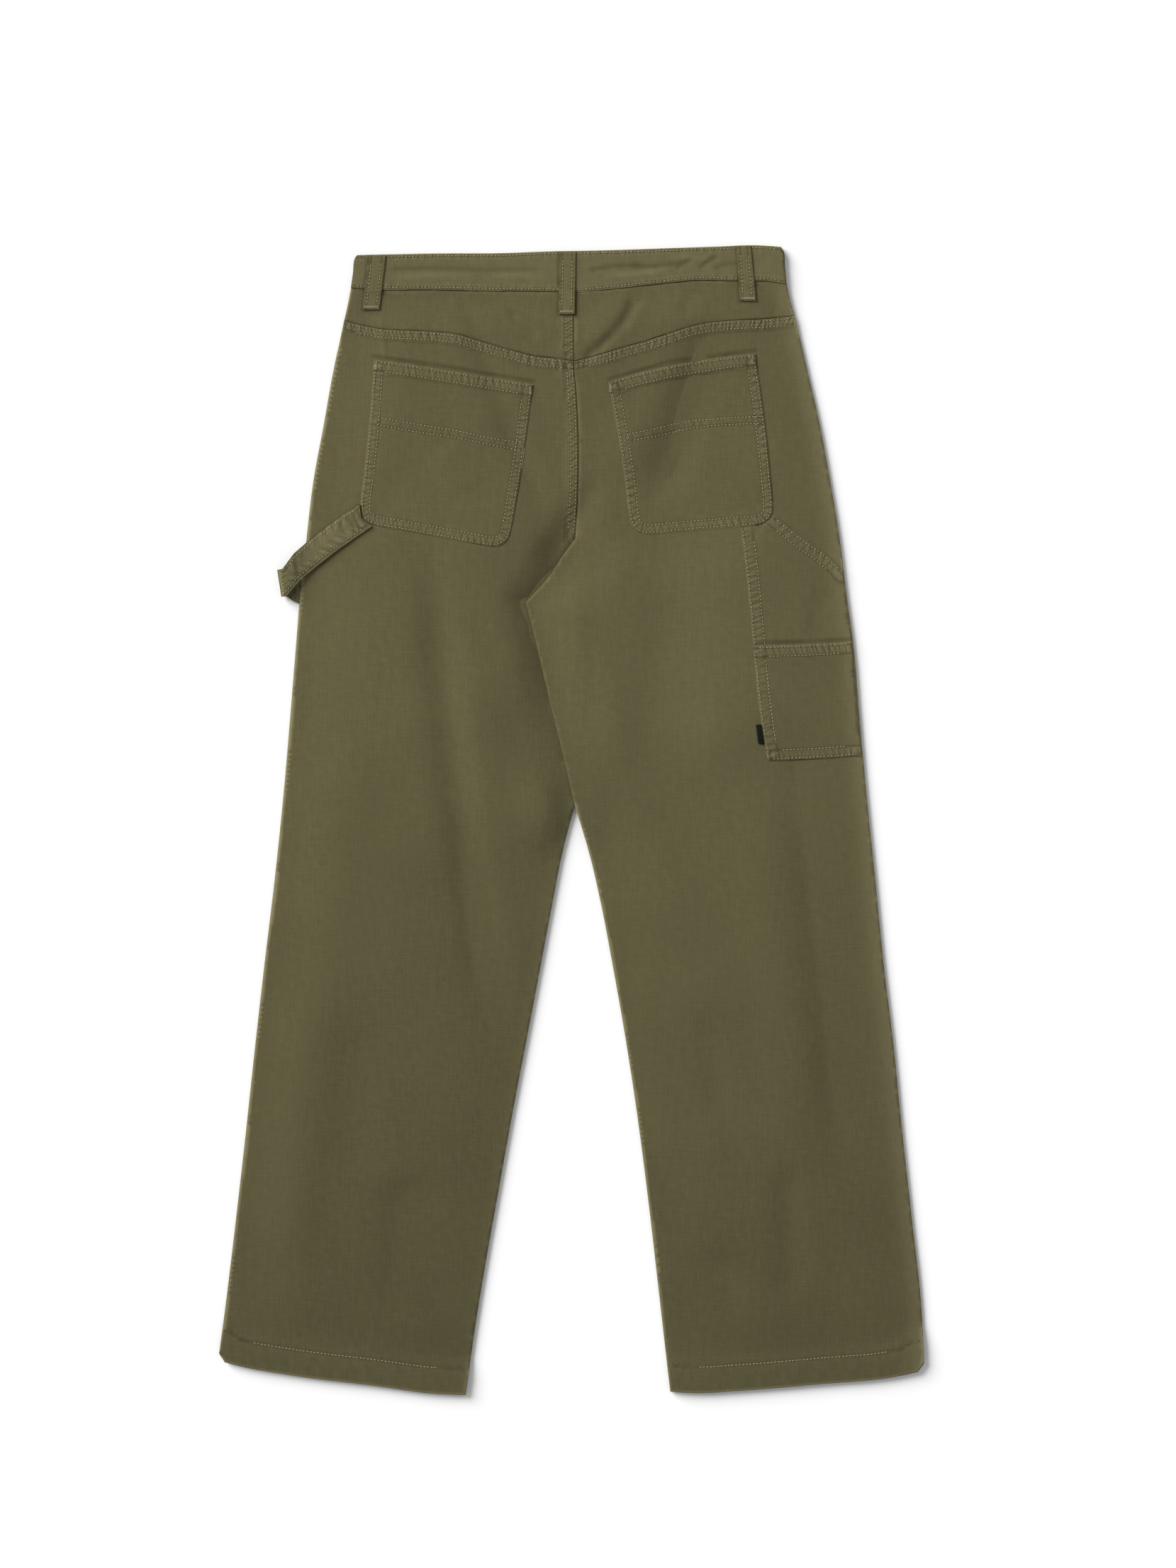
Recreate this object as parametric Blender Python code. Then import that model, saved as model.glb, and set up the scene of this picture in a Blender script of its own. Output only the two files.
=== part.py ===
"""Wide-leg carpenter trousers in olive canvas, laid flat on their front with the back up.

The garment lies on the plane z = 0 with its waist towards +Y. The wearer's left leg is at -X.
Every piece is a wall of cloth: a plan outline, a height for its lower face and a thickness.
The pieces are stacked as the real ones lie, a small gap apart.
"""

import math
from collections import namedtuple

import bmesh
import bpy
import numpy as np
from mathutils import Vector
from mathutils.geometry import delaunay_2d_cdt

# All sizes are in millimetres, and MM turns them to metres.
MM = 0.001

# Driving sizes of the cloth and its layers.
CLOTH = 1.2
GAP = 0.3
LAYER = CLOTH + GAP
BAND_PLY = 2 * CLOTH
POCKET_CLEARANCE = 0.4
FLY_RAMP = 34.0

# Felled seams and hems, as extra thickness over a width.
FELL_WIDTH = 9.0
FELL_HEIGHT = 0.8
POCKET_HEM_WIDTH = 11.0
HEM_DEPTH = 25.0
EDGE_RAMP = 2.0
HEM_RAMP = 7.0

# Air between the front and the back, and the length over which cloth rises.
AIR = 1.6
LEAST_AIR = 0.15
FLY_AIR_LOSS = 0.6
AIR_RAMP = 55.0
BAND_RAMP = 32.0
LIFT_RAMP = 42.0
CREASE_STEP = 6.0
PLATEAU = 21.0

# Distance between the mesh points of the large panels, the small pieces and the crotch fold.
PANEL_STEP = 27.0
PIECE_STEP = 20.0
FOLD_STEP = 13.0
SEAM_STEP = 18.0
CORNER_STEPS = 4

# The half size of the field of mesh points, how far they keep from outlines as a share of their
# distance, and how far the points of a line do. Closer points of an outline count as one.
FIELD_LENGTH = 560.0
FIELD_WIDTH = 340.0
LATTICE_CLEARANCE = 0.45
LINE_CLEARANCE = 1.5
SAME_POINT = 1.0
SAME_VERTEX = 1e-4

Finish = namedtuple("Finish", "colour roughness metallic")
CANVAS = Finish((0.118, 0.104, 0.051), 0.9, 0.0)
TAB_TAPE = Finish((0.025, 0.022, 0.014), 0.9, 0.0)
BRASS = Finish((0.42, 0.30, 0.13), 0.4, 1.0)

Side = namedtuple("Side", "y left right")
# The outer edge of the body and legs at each height, the wearer's left and right.
SIDES = [
    Side(529, -198.0, 194.3),
    Side(515, -200.8, 196.0),
    Side(493, -203.8, 198.3),
    Side(460, -210.5, 206.8),
    Side(417, -220.0, 216.8),
    Side(365, -229.3, 228.7),
    Side(312, -239.0, 238.5),
    Side(260, -245.2, 247.0),
    Side(208, -251.0, 253.5),
    Side(155, -255.4, 260.6),
    Side(103, -259.6, 264.8),
    Side(24, -266.4, 271.8),
    Side(-54, -274.5, 279.8),
    Side(-133, -284.0, 287.7),
    Side(-212, -293.0, 297.2),
    Side(-290, -301.4, 305.0),
    Side(-369, -310.4, 313.8),
    Side(-447, -319.8, 322.3),
    Side(-510, -328.0, 325.2),
]

Inseam = namedtuple("Inseam", "y left right")
# The inner edge of each leg, from where the legs part down to the hems.
INSEAMS = [
    Inseam(13.0, 2.3, 2.7),
    Inseam(-28.0, -8.5, 15.2),
    Inseam(-81.0, -19.0, 27.5),
    Inseam(-133.0, -28.8, 37.3),
    Inseam(-185.0, -38.6, 46.6),
    Inseam(-264.0, -53.8, 59.0),
    Inseam(-343.0, -68.1, 69.4),
    Inseam(-421.0, -81.9, 78.5),
    Inseam(-474.0, -90.4, 84.5),
    Inseam(-531.0, -98.4, 91.0),
]

Point = namedtuple("Point", "x y")
HEM_LEFT = [
    Point(-328, -498.0),
    Point(-312, -502.5),
    Point(-260, -512.0),
    Point(-181, -522.0),
    Point(-129, -529.0),
    Point(-96, -530.5),
]
HEM_RIGHT = [
    Point(88, -527.0),
    Point(113, -528.6),
    Point(153, -526.6),
    Point(231, -520.2),
    Point(297, -513.8),
    Point(328, -507.0),
]
HEM_CORNER = 6.0

Foot = namedtuple("Foot", "outer_y inner_x")
# Where each hem line starts at the leg's outer edge and ends at its inner edge, by whether the leg
# is the wearer's left.
FEET = {True: Foot(-498.0, -98.2), False: Foot(-507.0, 90.6)}
# The heights at which the hem's stitching line meets the two edges, and how far it keeps from them.
HEM_LINE_OUT = -490.0
HEM_LINE_IN = -500.0
HEM_LINE_TRIM = 2.0
ABOVE_HEMS = -400.0

# The waistband's top edge and the seam at its foot, from the wearer's left.
BAND_TOP = [
    Point(-199, 521.5),
    Point(-122, 523.0),
    Point(-63, 523.3),
    Point(-24, 524.8),
    Point(35, 526.0),
    Point(94, 528.0),
    Point(133, 529.3),
    Point(172, 530.5),
    Point(196, 528.8),
]
BAND_SEAM = [
    Point(-205, 491.3),
    Point(-176, 489.3),
    Point(-147, 489.5),
    Point(-73, 488.3),
    Point(-14, 487.6),
    Point(3, 487.0),
    Point(27, 489.2),
    Point(59, 492.6),
    Point(90, 495.8),
    Point(113, 498.2),
    Point(150, 497.5),
    Point(189, 496.4),
    Point(200, 494.0),
]

BandEnd = namedtuple("BandEnd", "top_y trim side_y seam_x")
# The waistband's ends: the height of the corner, how far it is cut off along the top and down to
# which height, and the x at which the seam's height is read.
LEFT_BAND_END = BandEnd(521.0, 1.4, 519.4, -204.0)
RIGHT_BAND_END = BandEnd(528.6, 1.5, 526.5, 198.0)

# The x at which a seam's height is read for its outer and its centre end.
SEAM_READ_AT = {True: (-205.0, 0.0), False: (200.0, 2.0)}

# The yoke seams, from the outer edge to the centre on the left and back out on the right.
YOKE_LEFT = [
    Point(-213, 461.3),
    Point(-202, 459.2),
    Point(-185, 454.3),
    Point(-173, 452.7),
    Point(-134, 450.6),
    Point(-104, 447.4),
    Point(-81, 440.4),
    Point(-57, 433.6),
    Point(-34, 427.6),
    Point(-11, 425.1),
    Point(3, 423.2),
]
YOKE_RIGHT = [
    Point(1, 422.6),
    Point(27, 429.5),
    Point(51, 436.8),
    Point(75, 443.6),
    Point(98, 451.6),
    Point(122, 458.2),
    Point(146, 460.8),
    Point(170, 461.8),
    Point(209, 465.8),
]

# The centre back and seat seam, from the waistband down to where the fold hides it.
SEAT = [
    Point(1.3, 489),
    Point(1.3, 464),
    Point(1.6, 424),
    Point(4.6, 379),
    Point(5.8, 338),
    Point(4.6, 289),
    Point(2.8, 260),
]

# The right leg's edge where it folds over the left leg, from the seat seam to its corner and
# on to where the legs part, and the left leg's edge that lies hidden under it.
FOLD_TOP = [
    Point(2.8, 260),
    Point(-7.0, 246.5),
    Point(-18.3, 228.3),
    Point(-29.5, 215.0),
    Point(-42.6, 201.2),
]
FOLD_SIDE = [
    Point(-42.6, 201.2),
    Point(-32.8, 162.4),
    Point(-20.3, 108.7),
    Point(-7.8, 59.0),
    Point(2.7, 13.0),
]
HIDDEN_TOP = [Point(2.5, 260), Point(4.5, 246), Point(20.0, 222.0), Point(40.0, 201.2)]
HIDDEN_SIDE = [
    Point(40.0, 201.2),
    Point(34.5, 162.4),
    Point(24.0, 108.7),
    Point(12.0, 59.0),
    Point(2.3, 13.0),
]
# The soft crease that carries the fold's upper edge on to the right, how it goes on past its end,
# and how far its upper line stands to the right.
CREASE = [
    Point(2.8, 260),
    Point(10.3, 269.2),
    Point(16.8, 277.7),
    Point(21.2, 286.5),
    Point(25.5, 296.3),
    Point(30, 307),
]
CREASE_LEAD = 1.0
CREASE_SLOPE = 2.2
CREASE_SHIFT = 0.2
# The stretch in which the right leg is raised, and the one whose mesh points lie close together.
LIFT_HALF_WIDTH = 150.0
LIFT_TOP = 330.0
LIFT_FOOT = -120.0
CROTCH_ZONE = [
    Point(-75, 330),
    Point(85, 330),
    Point(85, 60),
    Point(45, -60),
    Point(-25, -60),
    Point(-75, 60),
]

Pocket = namedtuple("Pocket", "name top_left top_right low_right low_left radius bow_top bow_side")
BACK_POCKETS = [
    Pocket(
        name="back_pocket_left",
        top_left=(-182.7, 425.0),
        top_right=(-36.0, 401.5),
        low_right=(-58.6, 249.2),
        low_left=(-196.6, 274.4),
        radius=19.0,
        bow_top=0.5,
        bow_side=1.2,
    ),
    Pocket(
        name="back_pocket_right",
        top_left=(33.4, 404.0),
        top_right=(169.0, 430.3),
        low_right=(187.6, 273.6),
        low_left=(55.6, 262.2),
        radius=19.0,
        bow_top=3.6,
        bow_side=1.6,
    ),
]

# The tool pocket on the right side seam: its left edge from the top, and its slanted mouth.
TOOL_EDGE = [
    Point(155.4, 270.6),
    Point(159.2, 241.7),
    Point(162.4, 211.6),
    Point(165.4, 180.0),
    Point(169.0, 140.0),
    Point(171.7, 113.3),
    Point(174.9, 89.0),
    Point(177.5, 71.4),
    Point(181.4, 54.6),
]
TOOL_MOUTH = [
    Point(186.2, 281.4),
    Point(205.0, 265.9),
    Point(226.6, 250.2),
    Point(245.0, 236.6),
    Point(251.6, 228.6),
]
# The height of the mouth's outer end, and how far below the mouth its hem ends.
MOUTH_FOOT = 229.0
MOUTH_HEM = Point(6.5, 9.2)
TOOL_FOOT = [Point(181.4, 54.6), Point(222.7, 56.4), Point(268.4, 59.4)]
PATCH_TOP = [Point(166.6, 160.6), Point(214.2, 162.2), Point(259.0, 164.6)]
# How far the tool pocket keeps inside the side fold and the patch inside the pocket, and the
# heights of the patch's two upper corners.
SIDE_INSET = 1.2
PATCH_INSET = 0.4
PATCH_CORNERS = (160.0, 164.0)

# The blank tab, sewn into the left edge of the lower patch.
TAB_CORNERS = [Point(169.4, 88.0), Point(174.4, 88.3), Point(177.2, 69.9), Point(171.7, 70.4)]
TAB_THICKNESS = 1.0

Strap = namedtuple("Strap", "x_upper y_upper x_lower y_lower rise")
# The hammer loop's upper run: its two edges from the pocket's corner out to its fold, and how
# far it has risen off the panel.
STRAP = [
    Strap(-196.2, 291.6, -184.6, 271.0, 0.0),
    Strap(-212.4, 281.2, -201.6, 259.4, 0.1),
    Strap(-228.8, 269.4, -219.2, 247.2, 0.9),
    Strap(-243.5, 257.6, -236.6, 233.6, 3.2),
    Strap(-256.5, 245.8, -250.6, 222.0, 5.0),
    Strap(-266.8, 231.6, -263.0, 207.0, 5.4),
]
STRAP_PLY = 2.2
STRAP_HOLLOW = 4.6
STRAP_TURN_STEPS = 6
STRAP_DIRECTION = Point(0.942, -0.335)
SEAM_X_AT_LOOP = (-250.6, -252.4)
STRAP_CLEARANCE = 0.4
# From this rise on, the strap's height is counted from the side seam and no longer the panel.
OFF_PANEL = 1.0

Loop = namedtuple("Loop", "name x_top x_foot foot width_top width_foot")
# The belt loops: where the centre line starts and ends, the height of the foot and the widths.
BELT_LOOPS = [
    Loop("belt_loop_left", -179.6, -185.4, 471.0, 16.4, 15.8),
    Loop("belt_loop_centre", -4.0, -4.9, 466.5, 15.6, 15.2),
    Loop("belt_loop_right", 158.4, 162.4, 479.0, 13.4, 15.4),
]
LOOP_PLY = 1.8
# How far a loop's top keeps below the waistband's, where below the seam it steps down, and how
# near the centre it lies on the felled seat seam.
LOOP_TOP_INSET = 0.5
LOOP_STEP = (1.0, 7.0)
LOOP_ON_SEAT = 20.0

Shield = namedtuple("Shield", "left right foot")
# The shield behind the front opening, and the button beside it in the front waistband.
FLY = Shield(-27.0, 9.0, 322.0)
FLY_CORNER = 18.0
BUTTON_RADIUS = 8.5
BUTTON_CENTRE = Point(6.0, 507.0)
BUTTON_THICKNESS = 1.8
CIRCLE_SIDES = 32

Fold = namedtuple("Fold", "x0 y0 x1 y1 width height")
# Soft ridges, and troughs where the height is negative, between two points.
FOLDS = [
    Fold(-142, 120, -104, -190, 30, -1.3),
    Fold(-84, 150, -84, -70, 26, 1.1),
    Fold(-205, 150, -232, -260, 40, 0.9),
    Fold(-150, -250, -170, -440, 34, 0.8),
    Fold(95, 190, 140, -60, 34, 0.9),
    Fold(190, -40, 226, -330, 36, 0.8),
    Fold(132, -200, 150, -430, 30, -0.8),
    Fold(-120, 350, -160, 300, 24, -0.5),
]
# Past this many widths a fold is not felt.
FOLD_REACH = 3.0


def smooth(share):
    """0 below 0, 1 above 1, and an even S between."""
    share = min(max(share, 0.0), 1.0)
    return share * share * (3 - 2 * share)


def through(rows, along, of):
    """The smooth curve of one column against another, as a function."""
    pairs = sorted((getattr(row, along), getattr(row, of)) for row in rows)
    at = np.array([pair[0] for pair in pairs], float)
    values = np.array([pair[1] for pair in pairs], float)
    slopes = np.gradient(values, at)

    def curve(where):
        k = int(np.clip(np.searchsorted(at, where) - 1, 0, len(at) - 2))
        span = at[k + 1] - at[k]
        t = (where - at[k]) / span
        rise = values[k + 1] - values[k]
        bend_in = slopes[k] * span - rise
        bend_out = rise - slopes[k + 1] * span
        return float(values[k] + t * rise + t * (1 - t) * ((1 - t) * bend_in + t * bend_out))

    return curve


side_left = through(SIDES, "y", "left")
side_right = through(SIDES, "y", "right")
inseam_left = through(INSEAMS, "y", "left")
inseam_right = through(INSEAMS, "y", "right")
hem_left = through(HEM_LEFT, "x", "y")
hem_right = through(HEM_RIGHT, "x", "y")
band_top = through(BAND_TOP, "x", "y")
band_seam = through(BAND_SEAM, "x", "y")
yoke_left = through(YOKE_LEFT, "x", "y")
yoke_right = through(YOKE_RIGHT, "x", "y")
seat = through(SEAT, "y", "x")
patch_top = through(PATCH_TOP, "x", "y")
tool_foot = through(TOOL_FOOT, "x", "y")
tool_mouth = through(TOOL_MOUTH, "x", "y")
tool_edge = through(TOOL_EDGE, "y", "x")


def stations(start, end, step=SEAM_STEP):
    count = max(1, math.ceil(abs(end - start) / step))
    return [start + (end - start) * k / count for k in range(count + 1)]


def row(start, end, height, step=SEAM_STEP, shift=0.0):
    """Points along a seam that runs across: height is a function of x."""
    return [Point(x, height(x) + shift) for x in stations(start, end, step)]


def column(start, end, across, step=SEAM_STEP, shift=0.0):
    """Points along a seam that runs down: across is a function of y."""
    return [Point(across(y) + shift, y) for y in stations(start, end, step)]


def rounded(corners, radii, bows=None):
    """A closed outline with round corners, whose sides bow outwards by the given sizes."""
    count = len(corners)
    bows = bows or [0.0] * count
    middle = np.mean(corners, axis=0)
    loop = []
    for k in range(count):
        before, here, after = (np.array(corners[(k + d) % count], float) for d in (-1, 0, 1))
        back = (before - here) / np.linalg.norm(before - here)
        ahead = (after - here) / np.linalg.norm(after - here)
        radius = radii[k]
        if radius:
            reach = radius / math.tan(0.5 * math.acos(float(back @ ahead)))
            start = here + back * reach
            end = here + ahead * reach
            for i in range(CORNER_STEPS + 1):
                t = i / CORNER_STEPS
                point = (1 - t) ** 2 * start + 2 * t * (1 - t) * here + t * t * end
                loop.append(Point(*point))
        else:
            end = here
            loop.append(Point(*here))
        reach_after = radii[(k + 1) % count]
        stop = after - ahead * reach_after
        length = np.linalg.norm(stop - end)
        outwards = np.array([ahead[1], -ahead[0]])
        if outwards @ (0.5 * (here + after) - middle) < 0:
            outwards = -outwards
        for t in stations(0.0, 1.0, PIECE_STEP / length)[1:-1]:
            point = end + (stop - end) * t + outwards * bows[k] * 4 * t * (1 - t)
            loop.append(Point(*point))
    return loop


def distance(x, y, line):
    """How far a point is from a line of points."""
    a = np.array(line[:-1], float)
    b = np.array(line[1:], float)
    point = np.array((x, y))
    along = b - a
    t = np.clip(((point - a) * along).sum(1) / (along * along).sum(1), 0, 1)
    near = a + along * t[:, None]
    return float(np.sqrt(((near - point) ** 2).sum(1)).min())


def inside(x, y, loop):
    """Whether a point lies within a closed outline."""
    found = False
    for a, b in zip(loop, loop[1:] + loop[:1]):
        if (a[1] > y) != (b[1] > y) and x < a[0] + (y - a[1]) * (b[0] - a[0]) / (b[1] - a[1]):
            found = not found
    return found


def tidy(*runs):
    """One closed outline from runs of points, without the doubles where they meet."""
    loop = []
    for point in (p for run in runs for p in run):
        if not loop or math.dist(point, loop[-1]) > SAME_POINT:
            loop.append(Point(*point))
    while math.dist(loop[0], loop[-1]) < SAME_POINT:
        loop.pop()
    return loop


CENTRE_TOP = 487.0
SEAT_END = 260.0
LEGS_PART = 13.0
OVERLAP = tidy(FOLD_TOP, FOLD_SIDE, HIDDEN_SIDE[::-1], HIDDEN_TOP[::-1])
CREASE_UPPER = [Point(CREASE[0].x + CREASE_SHIFT, CREASE[0].y + CREASE_STEP)]
CREASE_UPPER += [Point(p.x + CREASE_SHIFT - 0.5 * CREASE_STEP, p.y + CREASE_STEP) for p in CREASE[1:]]


def above_crease(x, y):
    """1 above the crease and 0 on and below it, over the width of its step."""
    if x < CREASE[0].x - CREASE_LEAD:
        return 0.0
    if x > CREASE[-1].x:
        line = CREASE[-1].y + (x - CREASE[-1].x) * CREASE_SLOPE
    else:
        line = float(np.interp(x, [p.x for p in CREASE], [p.y for p in CREASE]))
    return smooth((y - line) / CREASE_STEP)


def from_overlap(x, y):
    """How far a point lies outside the stretch where the legs overlap."""
    return 0.0 if inside(x, y, OVERLAP) else distance(x, y, OVERLAP + OVERLAP[:1])


def lift(x, y):
    """How far the right leg is raised where it lies over the left leg."""
    if abs(x) > LIFT_HALF_WIDTH or y > LIFT_TOP or y < LIFT_FOOT:
        return 0.0
    near = 1 - smooth((from_overlap(x, y) - FOLD_STEP) / LIFT_RAMP)
    return 2 * LAYER * near * (1 - above_crease(x, y))


def hem_share(x, y):
    """1 in the turned-up hems and 0 above them."""
    if y > ABOVE_HEMS:
        return 0.0
    up = y - (hem_left(x) if x < 0 else hem_right(x))
    return 1 - smooth((up - HEM_DEPTH) / HEM_RAMP)


def band_share(x, y):
    """1 at the waistband's seam and 0 well below it."""
    return 1 - smooth((band_seam(x) - y) / BAND_RAMP)


def fly_share(x, y):
    """1 over the shield of the front opening and 0 away from it."""
    away = math.hypot(max(FLY.left - x, x - FLY.right, 0.0), max(FLY.foot - y, 0.0))
    return 1 - smooth((away - PLATEAU) / FLY_RAMP)


def fold_height(x, y):
    total = 0.0
    for fold in FOLDS:
        start = np.array((fold.x0, fold.y0), float)
        along = np.array((fold.x1, fold.y1), float) - start
        t = float(((x, y) - start) @ along / (along @ along))
        nearest = start + along * t
        off = math.dist((x, y), nearest) / fold.width
        if off < FOLD_REACH:
            total += fold.height * math.exp(-off * off) * smooth(4 * t) * smooth(4 * (1 - t))
    return total


def air(x, y, left):
    """The air under the back cloth: none at the edges, more inside, with the soft folds."""
    inner = smooth(distance(x, y, EDGE_LEFT if left else EDGE_RIGHT) / AIR_RAMP)
    if left:
        inner *= smooth((from_overlap(x, y) - PLATEAU) / AIR_RAMP)
    else:
        off_fold = distance(x, y, FOLD_TOP + FOLD_SIDE[1:]) - PLATEAU * above_crease(x, y)
        inner *= smooth(off_fold / AIR_RAMP)
    inner *= (1 - band_share(x, y)) * (1 - FLY_AIR_LOSS * fly_share(x, y))
    return inner * max(LEAST_AIR, AIR + fold_height(x, y))


def outer_edge(left):
    if left:
        side, foot, inner = side_left, hem_left, inseam_left
    else:
        side, foot, inner = side_right, hem_right, inseam_right
    low, inner_x = FEET[left]
    run = column(band_seam(0), low, side)
    run += row(side(low), inner_x, foot)
    return run + column(foot(inner_x), LEGS_PART, inner)


EDGE_LEFT = outer_edge(True)
EDGE_RIGHT = outer_edge(False)


def front_low(left):
    return (lambda x, y: 0.0) if left else lift


def front_high(left):
    low = front_low(left)
    return lambda x, y: low(x, y) + CLOTH * (1 + hem_share(x, y))


def back_low(left):
    """The lower face of the back cloth, yokes and panels alike."""
    raised = (lambda x, y: 0.0) if left else lift

    def height(x, y):
        under = max(CLOTH * max(hem_share(x, y), band_share(x, y)), LAYER * fly_share(x, y))
        return LAYER + under + raised(x, y) + air(x, y, left)

    return height


def back_high(left, ridges=()):
    """The upper face of the back cloth, with its felled seams as ridges of (line, width)."""
    low = back_low(left)

    def height(x, y):
        shares = [1 - smooth((distance(x, y, line) - width) / EDGE_RAMP) for line, width in ridges]
        ridge = max(shares, default=0.0)
        return low(x, y) + CLOTH * (1 + hem_share(x, y)) + FELL_HEIGHT * ridge

    return height


def skin(x, y):
    """The top of the plain back cloth on either side."""
    return back_low(x < 0)(x, y) + CLOTH


def clipped(line, loop):
    """The points of a line that lie within an outline and clear of its edge."""
    closed = loop + loop[:1]
    return [p for p in line if inside(*p, loop) and distance(*p, closed) > LINE_CLEARANCE]


def plan(outline, lines=(), step=PANEL_STEP, fine=None):
    """Plan points and triangles over an outline, with a row of points along each line.

    The points between them are a lattice, closer together within the outline fine."""
    points = [Vector(p) for p in outline]
    count = len(points)
    edges = [(k, (k + 1) % count) for k in range(count)]
    runs = [outline + outline[:1]]
    for line in lines:
        first = len(points)
        points += [Vector(p) for p in line]
        edges += [(first + k, first + k + 1) for k in range(len(line) - 1)]
        if len(line) > 1:
            runs.append(line)
    zones = [(step, None)] if fine is None else [(step, False), (FOLD_STEP, True)]
    for pitch, within in zones:
        rise = pitch * math.sqrt(0.75)
        rows, columns = math.ceil(FIELD_LENGTH / rise), math.ceil(FIELD_WIDTH / pitch)
        for j in range(-rows, rows + 1):
            for i in range(-columns, columns + 1):
                x = (i + 0.5 * (j % 2)) * pitch
                y = j * rise
                if within is not None and inside(x, y, fine) != within:
                    continue
                if not inside(x, y, outline):
                    continue
                if min(distance(x, y, run) for run in runs) > LATTICE_CLEARANCE * pitch:
                    points.append(Vector((x, y)))
    verts, _, faces, *_ = delaunay_2d_cdt(points, edges, [list(range(count))], 1, SAME_VERTEX)
    return [(v.x, v.y) for v in verts], [tuple(face) for face in faces]


def material(name, finish):
    made = bpy.data.materials.new(name)
    made.use_nodes = True
    shader = made.node_tree.nodes["Principled BSDF"]
    shader.inputs["Base Color"].default_value = (*finish.colour, 1.0)
    shader.inputs["Roughness"].default_value = finish.roughness
    shader.inputs["Metallic"].default_value = finish.metallic
    made.diffuse_color = (*finish.colour, 1.0)
    return made


def solid(name, verts, faces, finish=CANVAS):
    mesh = bpy.data.meshes.new(name)
    mesh.from_pydata([tuple(c * MM for c in v) for v in verts], [], faces)
    bm = bmesh.new()
    bm.from_mesh(mesh)
    bmesh.ops.recalc_face_normals(bm, faces=bm.faces)
    bm.to_mesh(mesh)
    bm.free()
    mesh.materials.append(material(name + "_finish", finish))
    made = bpy.data.objects.new(name, mesh)
    bpy.context.scene.collection.objects.link(made)
    return made


def wall(name, flat, low, high, finish=CANVAS):
    """A closed wall of cloth over a plan, between two heights."""
    places, triangles = flat
    count = len(places)
    verts = [(x, y, low(x, y)) for x, y in places] + [(x, y, high(x, y)) for x, y in places]
    faces = [tuple(k + count for k in face) for face in triangles]
    faces += [face[::-1] for face in triangles]
    sides = {(a, b) for face in triangles for a, b in zip(face, face[1:] + face[:1])}
    for a, b in sides:
        if (b, a) not in sides:
            faces.append((a, b, b + count, a + count))
    return solid(name, verts, faces, finish)


def hem_lines(left, outline):
    if left:
        ends, foot = (side_left(HEM_LINE_OUT), inseam_left(HEM_LINE_IN)), hem_left
    else:
        ends, foot = (inseam_right(HEM_LINE_IN), side_right(HEM_LINE_OUT)), hem_right
    start, end = ends[0] + HEM_LINE_TRIM, ends[1] - HEM_LINE_TRIM
    return [clipped(row(start, end, foot, shift=HEM_DEPTH + d), outline) for d in (0, HEM_RAMP)]


def leg_outline(left, top):
    """A leg panel with its half of the seat, under the given row of top points.

    The top row runs from the outer edge to the centre on the left and back out on the right."""
    half = GAP / 2
    low, inner_x = FEET[left]
    if left:
        seat_run = column(top[-1].y, SEAT_END, seat, shift=-half)
        hidden = HIDDEN_TOP + HIDDEN_SIDE[1:]
        inner = column(LEGS_PART, hem_left(inner_x), inseam_left)
        foot = row(inner_x, side_left(low) + HEM_CORNER, hem_left)
        outer = column(low + HEM_CORNER, top[0].y, side_left)
        return tidy(top, seat_run, hidden, inner, foot, outer)
    outer = column(top[-1].y, low + HEM_CORNER, side_right)
    foot = row(side_right(low) - HEM_CORNER, inner_x, hem_right)
    inner = column(hem_right(inner_x), LEGS_PART, inseam_right)
    fold = FOLD_SIDE[::-1] + FOLD_TOP[::-1][1:]
    fold[-1] = Point(fold[-1].x + half, fold[-1].y)
    step_up = SEAT_END + CREASE_STEP
    seat_run = [Point(seat(step_up) + half, step_up)] + column(step_up, top[0].y, seat, shift=half)[1:]
    return tidy(top, outer, foot, inner, fold, seat_run)


def across(left, height, shift):
    """A seam's points over one half, from the outer edge to the centre or back."""
    half = GAP / 2
    outer_x, centre_x = SEAM_READ_AT[left]
    centre = seat(height(centre_x))
    if left:
        return row(side_left(height(outer_x)), centre - half, height, shift=shift)
    return row(centre + half, side_right(height(outer_x)), height, shift=shift)


def make_fronts():
    for left in (True, False):
        name = "front_left" if left else "front_right"
        outline = leg_outline(left, across(left, band_seam, -GAP / 2))
        lines = hem_lines(left, outline)
        fine = None
        if not left:
            lines += [clipped(CREASE, outline), clipped(CREASE_UPPER, outline)]
            fine = CROTCH_ZONE
        flat = plan(outline, lines, step=2 * PANEL_STEP, fine=fine)
        wall(name, flat, front_low(left), front_high(left))


def make_backs():
    for left in (True, False):
        name = "back_left" if left else "back_right"
        yoke = yoke_left if left else yoke_right
        outline = leg_outline(left, across(left, yoke, -GAP / 2))
        fell = across(left, yoke, 0.0)
        lines = hem_lines(left, outline)
        depths = (FELL_WIDTH, FELL_WIDTH + EDGE_RAMP)
        lines += [clipped([Point(x, y - depth) for x, y in fell], outline) for depth in depths]
        ridges = [(fell, FELL_WIDTH)]
        if left:
            seam = column(yoke(0), SEAT_END + 20, seat)
            ridges.append((seam, FELL_WIDTH))
            lines += [clipped([Point(x - depth, y) for x, y in seam], outline)[1:] for depth in depths]
        else:
            lines += [clipped(CREASE, outline), clipped(CREASE_UPPER, outline)]
        pocket = BACK_POCKETS[0 if left else 1]
        rim = pocket_outline(pocket)
        lines += [rim + rim[:1], *pocket_hem_lines(pocket)]
        flat = plan(outline, lines, fine=None if left else CROTCH_ZONE)
        wall(name, flat, back_low(left), back_high(left, ridges))


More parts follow.
